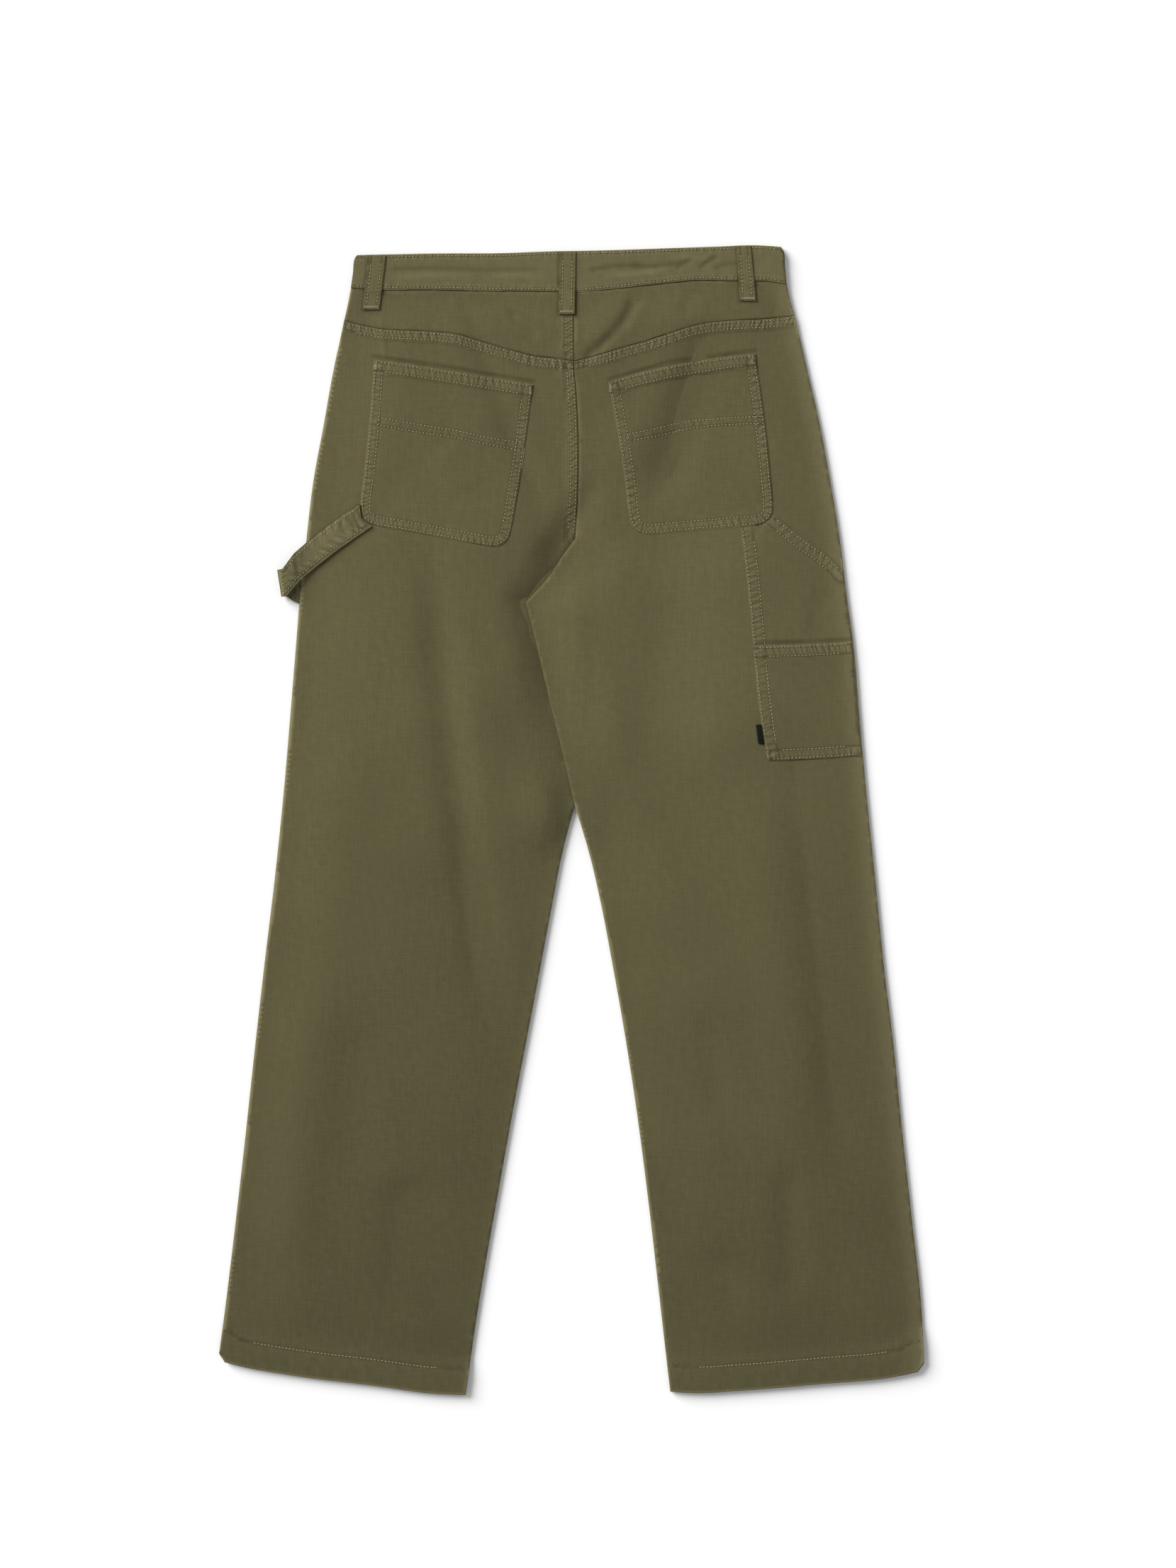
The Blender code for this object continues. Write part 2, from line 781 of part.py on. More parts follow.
def make_yokes():
    for left in (True, False):
        name = "yoke_left" if left else "yoke_right"
        top = across(left, band_seam, -GAP / 2)
        foot = across(left, yoke_left if left else yoke_right, GAP / 2)
        if left:
            centre = column(top[-1].y, foot[-1].y, seat, shift=-GAP / 2)
            outer = column(foot[0].y, top[0].y, side_left)
            outline = tidy(top, centre, foot[::-1], outer)
            seam = column(top[-1].y, foot[-1].y, seat)
            ridges = [(seam, FELL_WIDTH)]
            depths = (FELL_WIDTH, FELL_WIDTH + EDGE_RAMP)
            lines = [clipped([Point(x - depth, y) for x, y in seam], outline) for depth in depths]
        else:
            centre = column(foot[0].y, top[0].y, seat, shift=GAP / 2)
            outer = column(top[-1].y, foot[-1].y, side_right)
            outline = tidy(top, outer, foot[::-1], centre)
            ridges = []
            lines = []
        wall(name, plan(outline, lines, step=PIECE_STEP), back_low(left), back_high(left, ridges))


def band_outline():
    left, right = LEFT_BAND_END, RIGHT_BAND_END
    left_seam, right_seam = band_seam(left.seam_x), band_seam(right.seam_x)
    top = row(side_left(left.top_y) + left.trim, side_right(right.top_y) - right.trim, band_top)
    outer_right = column(right.side_y, right_seam + GAP / 2, side_right)
    foot = row(side_right(right_seam), side_left(left_seam), band_seam, shift=GAP / 2)
    outer_left = column(left_seam + GAP / 2, left.side_y, side_left)
    return tidy(top, outer_right, foot, outer_left)


def make_waistband():
    flat = plan(band_outline(), step=PIECE_STEP)
    front = wall("waistband_front", flat, lambda x, y: 0.0, lambda x, y: BAND_PLY)
    low = BAND_PLY + GAP
    wall("waistband_back", flat, lambda x, y: low, lambda x, y: low + BAND_PLY)
    hole = disc("button_hole", BUTTON_RADIUS + GAP, -BAND_PLY, 2 * BAND_PLY, CANVAS)
    hole.hide_render = True
    hole.display_type = "WIRE"
    cut = front.modifiers.new("button hole", "BOOLEAN")
    cut.operation = "DIFFERENCE"
    cut.object = hole
    disc("waist_button", BUTTON_RADIUS, 0.0, BUTTON_THICKNESS, BRASS)


def disc(name, radius, low, high, finish):
    """A flat round piece in the front waistband."""
    ring = []
    for k in range(CIRCLE_SIDES):
        turn = 2 * math.pi * k / CIRCLE_SIDES
        x, y = BUTTON_CENTRE.x + radius * math.cos(turn), BUTTON_CENTRE.y + radius * math.sin(turn)
        ring.append((x, y))
    verts = [(x, y, low) for x, y in ring] + [(x, y, high) for x, y in ring]
    count = CIRCLE_SIDES
    faces = [tuple(range(count))[::-1], tuple(range(count, 2 * count))]
    faces += [(k, (k + 1) % count, (k + 1) % count + count, k + count) for k in range(count)]
    return solid(name, verts, faces, finish)


def make_fly():
    top = CENTRE_TOP - 2 * GAP
    corners = [(FLY.left, top), (FLY.right, top), (FLY.right, FLY.foot), (FLY.left, FLY.foot)]
    outline = rounded(corners, [0, 0, 0, FLY_CORNER])
    wall("fly", plan(outline, step=PANEL_STEP), lambda x, y: LAYER, lambda x, y: LAYER + CLOTH)


def pocket_outline(pocket):
    corners = [pocket.top_left, pocket.top_right, pocket.low_right, pocket.low_left]
    bows = [pocket.bow_top, pocket.bow_side, 0.0, -pocket.bow_side]
    return rounded(corners, [0, 0, pocket.radius, pocket.radius], bows)


def pocket_mouth(pocket):
    """The top edge of a back pocket, from left to right."""
    outline = pocket_outline(pocket)
    ends = [k for k, point in enumerate(outline) if math.dist(point, pocket.top_right) < 0.01]
    return outline[: ends[0] + 1]


def pocket_hem_lines(pocket):
    """The two lines between which the hem at the pocket's mouth steps down."""
    down = np.array(pocket.low_left) - np.array(pocket.top_left)
    down = down / np.linalg.norm(down)
    outline = pocket_outline(pocket)
    lines = []
    for depth in (POCKET_HEM_WIDTH, POCKET_HEM_WIDTH + EDGE_RAMP):
        shifted = [Point(x + down[0] * depth, y + down[1] * depth) for x, y in pocket_mouth(pocket)]
        lines.append(clipped(shifted, outline))
    return lines


def make_back_pockets():
    for pocket in BACK_POCKETS:
        mouth = pocket_mouth(pocket)

        def low(x, y):
            return skin(x, y) + POCKET_CLEARANCE

        def high(x, y, mouth=mouth):
            hem = 1 - smooth((distance(x, y, mouth) - POCKET_HEM_WIDTH) / EDGE_RAMP)
            return low(x, y) + CLOTH + FELL_HEIGHT * hem

        fine = CROTCH_ZONE if pocket.low_left[0] > 0 else None
        flat = plan(pocket_outline(pocket), pocket_hem_lines(pocket), fine=fine)
        wall(pocket.name, flat, low, high)


def make_tool_pocket():
    def side(y):
        return side_right(y) - SIDE_INSET

    foot_y = TOOL_FOOT[-1].y
    pocket = pocket_outline(BACK_POCKETS[1])
    corner = [p for p in pocket if TOOL_EDGE[0].x < p.x and p.y < TOOL_MOUTH[0].y]
    corner.sort(key=lambda p: p.x)
    centre = np.mean(pocket, axis=0)
    under = []
    for point in corner:
        out = (point - centre) / np.linalg.norm(point - centre)
        under.append(Point(*(point + 3 * GAP * out)))
    left = column(TOOL_EDGE[0].y - GAP, TOOL_EDGE[-1].y, tool_edge)
    foot = row(TOOL_FOOT[0].x, side(foot_y), tool_foot)
    right = column(foot_y, MOUTH_FOOT, side)
    mouth = row(side(MOUTH_FOOT), TOOL_MOUTH[0].x, tool_mouth)
    outline = tidy(left, foot, right, mouth, under[::-1])

    def low(x, y):
        return skin(x, y) + POCKET_CLEARANCE

    def high(x, y):
        hem = 1 - smooth((distance(x, y, mouth) - POCKET_HEM_WIDTH) / EDGE_RAMP)
        return low(x, y) + CLOTH + FELL_HEIGHT * hem

    band = clipped([Point(x - MOUTH_HEM.x, y - MOUTH_HEM.y) for x, y in mouth], outline)
    wall("tool_pocket", plan(outline, [band], step=PIECE_STEP), low, high)

    left_top, right_top = PATCH_CORNERS
    edge = column(patch_top(TOOL_EDGE[3].x), TOOL_EDGE[-1].y, tool_edge, shift=-PATCH_INSET)
    right = column(foot_y, patch_top(side(right_top)), side, shift=-PATCH_INSET)
    top = row(side(right_top), tool_edge(left_top) - PATCH_INSET, patch_top)
    outline = tidy(edge, foot, right, top)

    def patch_low(x, y):
        return low(x, y) + CLOTH + GAP

    def patch_high(x, y):
        hem = 1 - smooth((distance(x, y, top) - POCKET_HEM_WIDTH) / EDGE_RAMP)
        return patch_low(x, y) + CLOTH + FELL_HEIGHT * hem

    band = clipped([Point(x, y - POCKET_HEM_WIDTH) for x, y in top], outline)
    wall("tool_pocket_lower", plan(outline, [band], step=PIECE_STEP), patch_low, patch_high)

    tab = [Point(min(p.x, tool_edge(p.y) - PATCH_INSET - GAP), p.y) for p in TAB_CORNERS]
    flat = (tab, [(0, 1, 2), (0, 2, 3)])
    tab_low = max(skin(*p) for p in tab) + GAP
    wall("tab_label", flat, lambda x, y: tab_low, lambda x, y: tab_low + TAB_THICKNESS, TAB_TAPE)


def strap_ring(edges, low, high, hollow=0.0):
    """One section across a strap, given its two edges, with its middle pushed along by hollow."""
    upper, lower = (np.array(edge, float) for edge in edges)
    along = np.array([-(upper - lower)[1], (upper - lower)[0]])
    if along[0] > 0:
        along = -along
    middle = 0.5 * (upper + lower) + along / np.linalg.norm(along) * hollow
    ring = [(*upper, low[0]), (*middle, 0.5 * (low[0] + low[1])), (*lower, low[1])]
    return ring + [(*lower, high[1]), (*middle, 0.5 * (high[0] + high[1])), (*upper, high[0])]


def swept(name, rings):
    """A closed solid through rings of points, all of one count."""
    count = len(rings[0])
    verts = [corner for ring in rings for corner in ring]
    faces = [tuple(range(count)), tuple(len(verts) - 1 - k for k in range(count))]
    for k in range(len(rings) - 1):
        for i in range(count):
            a = count * k + i
            b = count * k + (i + 1) % count
            faces.append((a, b, b + count, a + count))
    return solid(name, verts, faces)


def make_hammer_loop():
    """A strap that leaves the pocket's corner, folds over outside the side seam and comes back."""
    rings = []
    for k, station in enumerate(STRAP):
        edges = ((station.x_upper, station.y_upper), (station.x_lower, station.y_lower))
        on_panel = station.rise < OFF_PANEL
        below = max(skin(*edge) for edge in edges) if on_panel else LAYER + CLOTH
        low = below + GAP + station.rise
        hollow = 0.0 if k else STRAP_HOLLOW
        rings.append(strap_ring(edges, (low, low), (low + STRAP_PLY,) * 2, hollow))
    fold = np.array(edges[0]) - np.array(edges[1])
    out = np.array([-fold[1], fold[0]]) / np.linalg.norm(fold)
    if out[0] > 0:
        out = -out
    radius = 0.5 * low
    for k in range(1, STRAP_TURN_STEPS + 1):
        turn = math.pi * k / STRAP_TURN_STEPS
        inner, outer = radius - 0.5 * STRAP_PLY, radius + 0.5 * STRAP_PLY
        points = []
        for size in (inner, outer):
            shift = out * size * math.sin(turn)
            height = radius + 0.5 * STRAP_PLY + size * math.cos(turn)
            points.append([(*(np.array(edge) + shift), height) for edge in edges])
        (a, b), (c, d) = points
        halves = [tuple(0.5 * (p + q) for p, q in zip(*pair)) for pair in ((a, b), (c, d))]
        rings.append([a, halves[0], b, d, halves[1], c])
    ends = []
    for edge, reach in zip(edges, SEAM_X_AT_LOOP):
        run = (reach - GAP - STRAP_CLEARANCE - edge[0]) / STRAP_DIRECTION.x
        ends.append((edge[0] + run * STRAP_DIRECTION.x, edge[1] + run * STRAP_DIRECTION.y))
    rings.append(strap_ring(ends, (STRAP_PLY,) * 2, (0.0, 0.0)))
    swept("hammer_loop", rings)


def make_belt_loops():
    for loop in BELT_LOOPS:
        top = band_top(loop.x_top) - LOOP_TOP_INSET
        seam = band_seam(loop.x_foot)
        step_top, step_foot = seam - LOOP_STEP[0], seam - LOOP_STEP[1]
        band_high = 2 * BAND_PLY + GAP
        heights = [top, 0.5 * (top + seam), step_top, step_foot, 0.5 * (step_foot + loop.foot), loop.foot]
        rings = []
        for y in heights:
            t = (top - y) / (top - loop.foot)
            x = loop.x_top + (loop.x_foot - loop.x_top) * t
            half = 0.5 * (loop.width_top + (loop.width_foot - loop.width_top) * t)
            if y >= step_top:
                low = band_high + GAP
            else:
                raised = FELL_HEIGHT if abs(x) < LOOP_ON_SEAT else 0.0
                low = max(skin(x + d, y) for d in (-half, 0, half)) + raised + 2 * GAP
            high = low + LOOP_PLY
            rings.append([(x - half, y, low), (x + half, y, low), (x + half, y, high), (x - half, y, high)])
        swept(loop.name, rings)


def main():
    for old in list(bpy.data.objects):
        bpy.data.objects.remove(old, do_unlink=True)
    make_fronts()
    make_fly()
    make_backs()
    make_yokes()
    make_waistband()
    make_back_pockets()
    make_tool_pocket()
    make_hammer_loop()
    make_belt_loops()


main()
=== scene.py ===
"""The looks of wide-leg carpenter trousers in washed canvas, laid flat with the back up.

Each cloth piece starts from a copy of its solid. Its upper face is split finely, eased along its
outline, and then shaped by the garment's folds, felled seams and puckers. Stitches are sewn on
afterwards, as threads that lie on the finished surface.
"""

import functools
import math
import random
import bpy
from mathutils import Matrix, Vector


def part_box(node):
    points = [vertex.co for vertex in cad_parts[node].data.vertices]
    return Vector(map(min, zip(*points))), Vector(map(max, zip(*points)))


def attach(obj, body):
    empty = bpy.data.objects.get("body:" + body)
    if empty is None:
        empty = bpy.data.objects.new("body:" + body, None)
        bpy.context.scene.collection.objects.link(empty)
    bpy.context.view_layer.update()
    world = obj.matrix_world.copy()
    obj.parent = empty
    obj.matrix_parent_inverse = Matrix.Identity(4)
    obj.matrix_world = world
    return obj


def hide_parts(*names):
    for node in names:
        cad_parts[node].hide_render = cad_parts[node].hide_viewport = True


bl_info = {
    "name": "Flat-laid Canvas Trousers",
    "version": (1, 0, 0),
    "blender": (4, 5, 0),
    "location": "View3D > Sidebar > Trousers",
    "description": "Dresses the trousers' solids with canvas, seams, stitching and a brass button",
    "category": "Object",
}

from collections import namedtuple

import bmesh
import bpy
import numpy as np
from mathutils import Matrix, Vector
from mathutils.bvhtree import BVHTree

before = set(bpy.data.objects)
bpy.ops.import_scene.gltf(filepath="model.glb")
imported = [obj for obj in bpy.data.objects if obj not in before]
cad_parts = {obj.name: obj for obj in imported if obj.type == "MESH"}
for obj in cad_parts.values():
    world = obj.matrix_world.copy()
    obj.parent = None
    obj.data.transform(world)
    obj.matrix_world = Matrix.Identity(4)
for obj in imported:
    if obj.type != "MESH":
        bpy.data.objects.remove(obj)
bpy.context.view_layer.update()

# Plan positions and cloth sizes below are in millimetres, and MM turns them to metres.
MM = 0.001
UPWARDS = 0.5
WELD = 0.01 * MM
CORNER_TURN = math.radians(35)
LONG_SIDE = 20.0
# How much longer than wanted an edge may be before it is split.
LONGER = 1.35
# The height that parts the strap's upper run from its lower one, how far the upper one is laid
# closer to the leg, and how far the lower one is drawn to the seam and towards the hem.
STRAP_PARTS = 2.6
STRAP_LOWER = 2.6
STRAP_REACH = 1.2
STRAP_TURN = 3.5
DOWN = Vector((0, 0, -1))

# Air between the front and the back: its depth, the share that is gone at the hems, and how far in
# from each edge it is full. Towards edges that face the light it ends on a short ramp, and towards
# the others on a long one.
AIR = 3.0
HEM_AIR = 0.5
LIT_RAMP = 75.0
FAR_RAMP = 150.0
HEM_RAMP = 75.0
BAND_RAMP = 42.0
# The same beside the right leg's fold: on the leg that folds over, and on the leg below it.
HIGH_RAMP = 60.0
LOW_RAMP = 32.0
# How far in from the outer edges, and from the band and the valley, the folds begin.
FOLD_RAMP = 24.0
FOLD_SEAM_RAMP = 9.0
# Mounds, each as its x, y and reach in both: the crotch's air, and the left leg's inner edge just
# below where the legs part, where a shorter ramp ends the air and more of it swells up.
CROTCH = (-52.0, 150.0, 95.0, 140.0)
CROTCH_AIR = 4.6
PART = (-8.0, 0.0, 45.0, 55.0)
PART_RAMP = 0.25
PART_SWELL = (-30.0, 0.0, 32.0, 52.0)
PART_AIR = 4.5
# Mounds of colour: the paler right thigh, and painted shade in the deep hollow beside the fold's corner.
PALER_RIGHT_THIGH = (135.0, 160.0, 95.0, 125.0)
PAINTED_HOLLOW_SHADE = (-22.0, 244.0, 17.0, 22.0)
# Folds narrower than this are meshed finely.
FINE_FOLD = 10.0
PUCKER_WAVES = 18
# A row of stitches draws in a groove: its reach, its depth in a seam and in the cross stitching, and how much
# painted shade darkens it.
GROOVE = 0.85
SEAM_GROOVE = 0.18
CROSS_GROOVE = 0.2
GROOVE_SHADE = 0.6
# How far a pucker's colour follows its height, its crests rubbed paler and its troughs darkened with painted
# shade; how rubbed a seam is all over; and how pale the garment's outer edges are.
PUCKER_WEAR = 2.4
SEAM_WEAR = 0.09
EDGE_WEAR = 1.1
# A piece pressed down further than this takes its underside along.
PRESSED = 0.7
# Cloth and brass show an edge where two faces meet at more than these angles, in degrees.
CLOTH_SHARP = 42
BRASS_SHARP = 40

Place = namedtuple("Place", "x y")
Fold = namedtuple("Fold", "x0 y0 x1 y1 bow width height")

# The large soft folds of each half: ridges, and troughs where the height is negative.
LEFT_FOLDS = [
    Fold(-136, 285, -66, -225, -5, 18, -3.9),
    Fold(-150, 310, -98, -240, 0, 58, 1.6),
    Fold(-240, -110, -264, -430, 0, 26, 1.5),
    Fold(-196, -170, -206, -340, 2, 22, -0.8),
    Fold(-150, -320, -146, -470, 0, 24, -2.6),
    Fold(-106, 496, -16, 258, -2, 11, -1.5),
    Fold(-84, 480, -8, 270, -2, 30, -0.6),
    Fold(-118, 470, -58, 350, -2, 26, 1.3),
    Fold(-160, 330, -190, 250, 3, 15, -0.7),
    Fold(-176, 470, -172, 420, 0, 3.4, 0.5),
    Fold(-120, 478, -62, 462, -3, 9, 0.5),
    Fold(-62, 470, -30, 440, 2, 6, -0.8),
    Fold(-124, 344, -96, 300, 2, 20, 0.6),
]
RIGHT_FOLDS = [
    Fold(140, 290, 166, 30, 3, 50, 3.2),
    Fold(206, 110, 262, -360, 5, 23, -2.5),
    Fold(168, 60, 216, -340, 4, 30, 1.6),
    Fold(198, -310, 204, -450, 0, 14, -1.6),
    Fold(118, -170, 138, -280, 2, 13, -0.9),
    Fold(132, -390, 128, -500, 0, 24, -2.2),
    Fold(134, 476, 70, 278, 5, 19, -2.9),
    Fold(96, 456, 44, 310, 3, 24, 1.6),
    Fold(172, 466, 112, 290, 5, 34, -1.1),
    Fold(64, 493, 38, 445, 2, 5.6, -1.7),
    Fold(44, 454, 4, 421, 2, 5.0, -1.6),
    Fold(54, 490, 14, 434, 2, 16, 1.2),
    Fold(112, 492, 100, 462, 2, 7, -0.6),
    Fold(192, 490, 186, 462, 0, 2.8, -0.6),
    Fold(60, -110, 84, -330, 3, 22, 0.7),
    Fold(238, 236, 224, 160, 0, 9, -1.2),
]
# The crease that runs on above the right leg's fold, across the seat seam.
SEAT_FOLDS = [
    Fold(-38, 226, 30, 322, -1, 13, -1.6),
]
# The gathers of the waistband, most of them running along it.
BAND_FOLDS = [
    Fold(-176, 507, -92, 508, 1, 2.4, -0.34),
    Fold(-116, 508, -18, 508, -1, 2.4, -0.3),
    Fold(-170, 500, -86, 501, 1, 3.2, 0.3),
    Fold(-80, 501, -18, 500, 1, 3.0, 0.25),
    Fold(8, 505, 74, 512, 2, 2.6, -0.45),
    Fold(46, 509, 112, 515, -1, 2.4, -0.42),
    Fold(26, 501, 92, 507, -1, 3.2, 0.35),
    Fold(90, 519, 132, 516, 1, 2.8, 0.3),
    Fold(94, 507, 114, 519, 1, 2.4, -0.4),
    Fold(116, 508, 136, 521, 1, 2.4, -0.5),
    Fold(128, 508, 156, 514, 1, 2.8, -0.35),
]
# The wrinkles across the hammer loop beside the pocket's corner.
LOOP_FOLDS = [
    Fold(-200, 288, -187, 269, 0.5, 1.5, -0.7),
    Fold(-204, 285, -192, 264, -0.5, 1.5, -0.8),
    Fold(-208, 283, -198, 262, 0.5, 1.8, -0.6),
    Fold(-215, 277, -206, 258, -0.5, 1.8, -0.4),
    Fold(-258, 243, -252, 222, 1.0, 2.0, -0.5),
]
# The valley beside the right leg's fold, from where the legs part, round the fold's corner and on
# into the soft crease above the seat seam.
VALLEY = [
    (2.7, 13),
    (-7.8, 59),
    (-20.3, 108.7),
    (-32.8, 162.4),
    (-42.6, 201.2),
    (-18.3, 228.3),
    (2.8, 260),
    (30, 307),
]
FOLD_TOP_Y = 260.0

# Corners of the pieces, by which the runs of their outlines are named.
LEFT_SIDE_TOP = Place(-213, 461)
LEFT_HEM_OUT = Place(-327, -499)
LEFT_HEM_IN = Place(-98, -530)
LEGS_PART_LEFT = Place(2.3, 13)
LEFT_SEAT_FOOT = Place(2.5, 260)
LEFT_SEAT_TOP = Place(1.5, 424)
RIGHT_SEAT_TOP = Place(1.7, 423)
LEGS_PART_RIGHT = Place(2.7, 13)
RIGHT_HEM_IN = Place(90.6, -527)
RIGHT_HEM_OUT = Place(325, -507)
RIGHT_SIDE_TOP = Place(208, 465)

# The cross stitching of the back pockets, as two rows each.
CROSS_LEFT = [
    [(-176.2, 370.7), (-142.1, 364.8), (-103.5, 358.3), (-72.7, 351.7), (-43.2, 347.8)],
    [(-180.8, 364.8), (-142.1, 357.8), (-103.5, 351.9), (-72.7, 345.6), (-45.9, 340.8)],
]
CROSS_RIGHT = [
    [(51.7, 355.7), (74.0, 360.2), (100.9, 366.8), (135.6, 370.3), (176.2, 372.7)],
    [(56.0, 349.9), (83.2, 355.4), (104.1, 360.6), (135.6, 364.4), (176.2, 366.1)],
]

# A seam runs along an outline from start to end. Its rows of stitches lie at these distances inside the edge,
# its puckers reach over the width, its ridge is the felled thickness, and its edge is rubbed pale where the
# last number is positive, or takes painted shade where it is negative.
Seam = namedtuple("Seam", "start end rows width pitch height lean ridge rub", defaults=(0.5,))
# Crossings are a piece's rows of cross stitching and shades are lines along which it takes painted shade, as
# another piece's edge would shade it. Roll is how far its edge bends down, sunk is how far it is pressed onto
# what it lies on, and pale says how rubbed it is all over.
Piece = namedtuple(
    "Piece", "node left held_by seams crossings shades roll sunk pale", defaults=((), (), 0.0, 0.0, 0.0)
)


def srgb(code):
    """The linear colour of an sRGB hex code."""
    parts = [int(code[k : k + 2], 16) / 255 for k in (1, 3, 5)]
    return tuple(c / 12.92 if c <= 0.04045 else ((c + 0.055) / 1.055) ** 2.4 for c in parts)


def colour_setting(name, description, code):
    """A setting that is a colour, from its sRGB hex code."""
    return bpy.props.FloatVectorProperty(
        name=name, description=description, subtype="COLOR", default=srgb(code)
    )


def length_setting(name, description, size):
    """A setting that is a length, from its millimetres."""
    return bpy.props.FloatProperty(name=name, description=description, default=size * MM, unit="LENGTH")


class TrousersSettings(bpy.types.PropertyGroup):
    """The sizes and colours of the cloth, the stitching and the studio."""

    canvas: colour_setting("Canvas", "Colour of the dyed canvas", "#585338")
    worn: colour_setting("Worn canvas", "Colour where washing has rubbed it", "#7F7959")
    # The deep colour is painted shade, which pits, grooves and shaded places take.
    shaded: colour_setting("Deep canvas", "Colour in pits and grooves", "#29261A")
    thread: colour_setting("Thread", "Colour of the sewing thread", "#8A8463")
    tab: colour_setting("Tab", "Colour of the blank woven tab", "#12110E")
    brass: colour_setting("Brass", "Colour of the waist button", "#A98A52")
    floor: colour_setting("Floor", "Colour of the studio floor", "#F4F4F4")
    panel_mesh: length_setting("Panel mesh", "Edge length on open cloth", 4.2)
    seam_mesh: length_setting("Seam mesh", "Edge length beside seams", 1.25)
    stitch_pitch: length_setting("Stitch pitch", "Distance between stitches", 3.3)
    stitch_length: length_setting("Stitch length", "Length of thread that shows", 2.3)
    thread_width: length_setting("Thread width", "Width of the sewing thread", 0.95)
    weave: length_setting("Weave", "Thread spacing of the canvas as drawn", 1.0)
    painted_hem_shade: bpy.props.FloatProperty(
        name="Painted hem shade", description="Brightness of the hems against the seat", default=0.765, subtype="FACTOR"
    )
    sun: bpy.props.FloatProperty(name="Key light", description="Strength of the low key light", default=4.9)
    sky: bpy.props.FloatProperty(name="Fill", description="Strength of the white surroundings", default=0.45)


def settings():
    return bpy.context.scene.trousers


def smooth(share):
    """0 below 0, 1 above 1, and an even S between, for arrays."""
    share = np.clip(share, 0.0, 1.0)
    return share * share * (3 - 2 * share)


def mound(where, x, y, reach_x, reach_y):
    """A round swell, 1 at its place and fading over its reach, for arrays."""
    return np.exp(-(((where[:, 0] - x) / reach_x) ** 2) - ((where[:, 1] - y) / reach_y) ** 2)


def curve_through(points, step=4.0):
    """A smooth run of points about a step apart through the given ones."""
    points = np.array(points, float)
    reach = np.concatenate([[0.0], np.cumsum(np.linalg.norm(np.diff(points, axis=0), axis=1))])
    if len(points) > 2:
        slopes = np.gradient(points, reach, axis=0)
    else:
        slopes = np.repeat((points[1:] - points[:1]) / reach[-1], 2, axis=0)
    run = []
    for k in range(len(points) - 1):
        span = reach[k + 1] - reach[k]
        rise = points[k + 1] - points[k]
        bend_in = slopes[k] * span - rise
        bend_out = rise - slopes[k + 1] * span
        for t in np.linspace(0, 1, max(1, round(span / step)), endpoint=False):
            run.append(points[k] + t * rise + t * (1 - t) * ((1 - t) * bend_in + t * bend_out))
    run.append(points[-1])
    return np.array(run)


class Line:
    """A run of plan points in millimetres, measured along its length."""

    def __init__(self, points):
        self.points = np.array(points, float)
        steps = np.diff(self.points, axis=0)
        self.lengths = np.linalg.norm(steps, axis=1)
        self.ways = steps / self.lengths[:, None]
        self.starts = np.concatenate([[0.0], np.cumsum(self.lengths)])
        self.length = float(self.starts[-1])

    def measure(self, where, reach=1e9):
        """How far each place is from the line, and how far along it the nearest point lies."""
        away = np.full(len(where), 1e9)
        along = np.zeros(len(where))
        low, high = self.points.min(0) - reach, self.points.max(0) + reach
        near = np.flatnonzero(((where > low) & (where < high)).all(1))
        places = where[near]
        best, best_along = away[near], along[near]
        for point, way, length, start in zip(self.points, self.ways, self.lengths, self.starts):
            offset = places - point
            t = np.clip(offset @ way, 0, length)
            gap = np.hypot(offset[:, 0] - t * way[0], offset[:, 1] - t * way[1])
            closer = gap < best
            best[closer] = gap[closer]
            best_along[closer] = t[closer] + start
        away[near] = best
        along[near] = best_along
        return away, along

    def at(self, along):
        """The points and unit directions at lengths along the line."""
        along = np.clip(along, 0, self.length)
        points = np.stack([np.interp(along, self.starts, self.points[:, k]) for k in (0, 1)], -1)
        k = np.clip(np.searchsorted(self.starts, along, side="right") - 1, 0, len(self.ways) - 1)
        return points, self.ways[k]

    def shifted(self, inset, trim=0.0):
        """The line moved to its left, cut short by trim at both ends."""
        ways = np.vstack([self.ways[:1], self.ways[:-1] + self.ways[1:], self.ways[-1:]])
        ways /= np.linalg.norm(ways, axis=1)[:, None]
        moved = self.points + inset * np.stack([-ways[:, 1], ways[:, 0]], -1)
        inner = (self.starts > trim) & (self.starts < self.length - trim)
        return Line(moved[inner] if trim and inner.sum() > 1 else moved)


def ripple(where, size, seed, waves=28):
    """An even random swell from about -1 to 1, whose swells are about size across."""
    rng = np.random.default_rng(seed)
    turn = rng.uniform(0, 2 * math.pi, waves)
    number = 2 * math.pi / (size * rng.uniform(1.5, 3.0, waves))
    phase = rng.uniform(0, 2 * math.pi, waves)
    total = np.zeros(len(where))
    for k in range(waves):
        reach = where[:, 0] * math.cos(turn[k]) + where[:, 1] * math.sin(turn[k])
        total += np.cos(number[k] * reach + phase[k])
    return total / math.sqrt(waves)


def fold_line(fold):
    """The bowed line along which a fold runs."""
    ends = np.array([[fold.x0, fold.y0], [fold.x1, fold.y1]], float)
    way = (ends[1] - ends[0]) / np.linalg.norm(ends[1] - ends[0])
    middle = ends.mean(0) + fold.bow * np.array([-way[1], way[0]])
    return Line(curve_through([ends[0], middle, ends[1]], 8.0))


def folded(where, folds):
    """The height of a table of folds, each tapered towards its ends."""
    total = np.zeros(len(where))
    for fold in folds:
        line = fold_line(fold)
        away, along = line.measure(where, 3 * fold.width)
        share = along / line.length
        taper = smooth(4 * share) * smooth(4 * (1 - share))
        total += fold.height * np.exp(-((away / fold.width) ** 2)) * taper
    return total


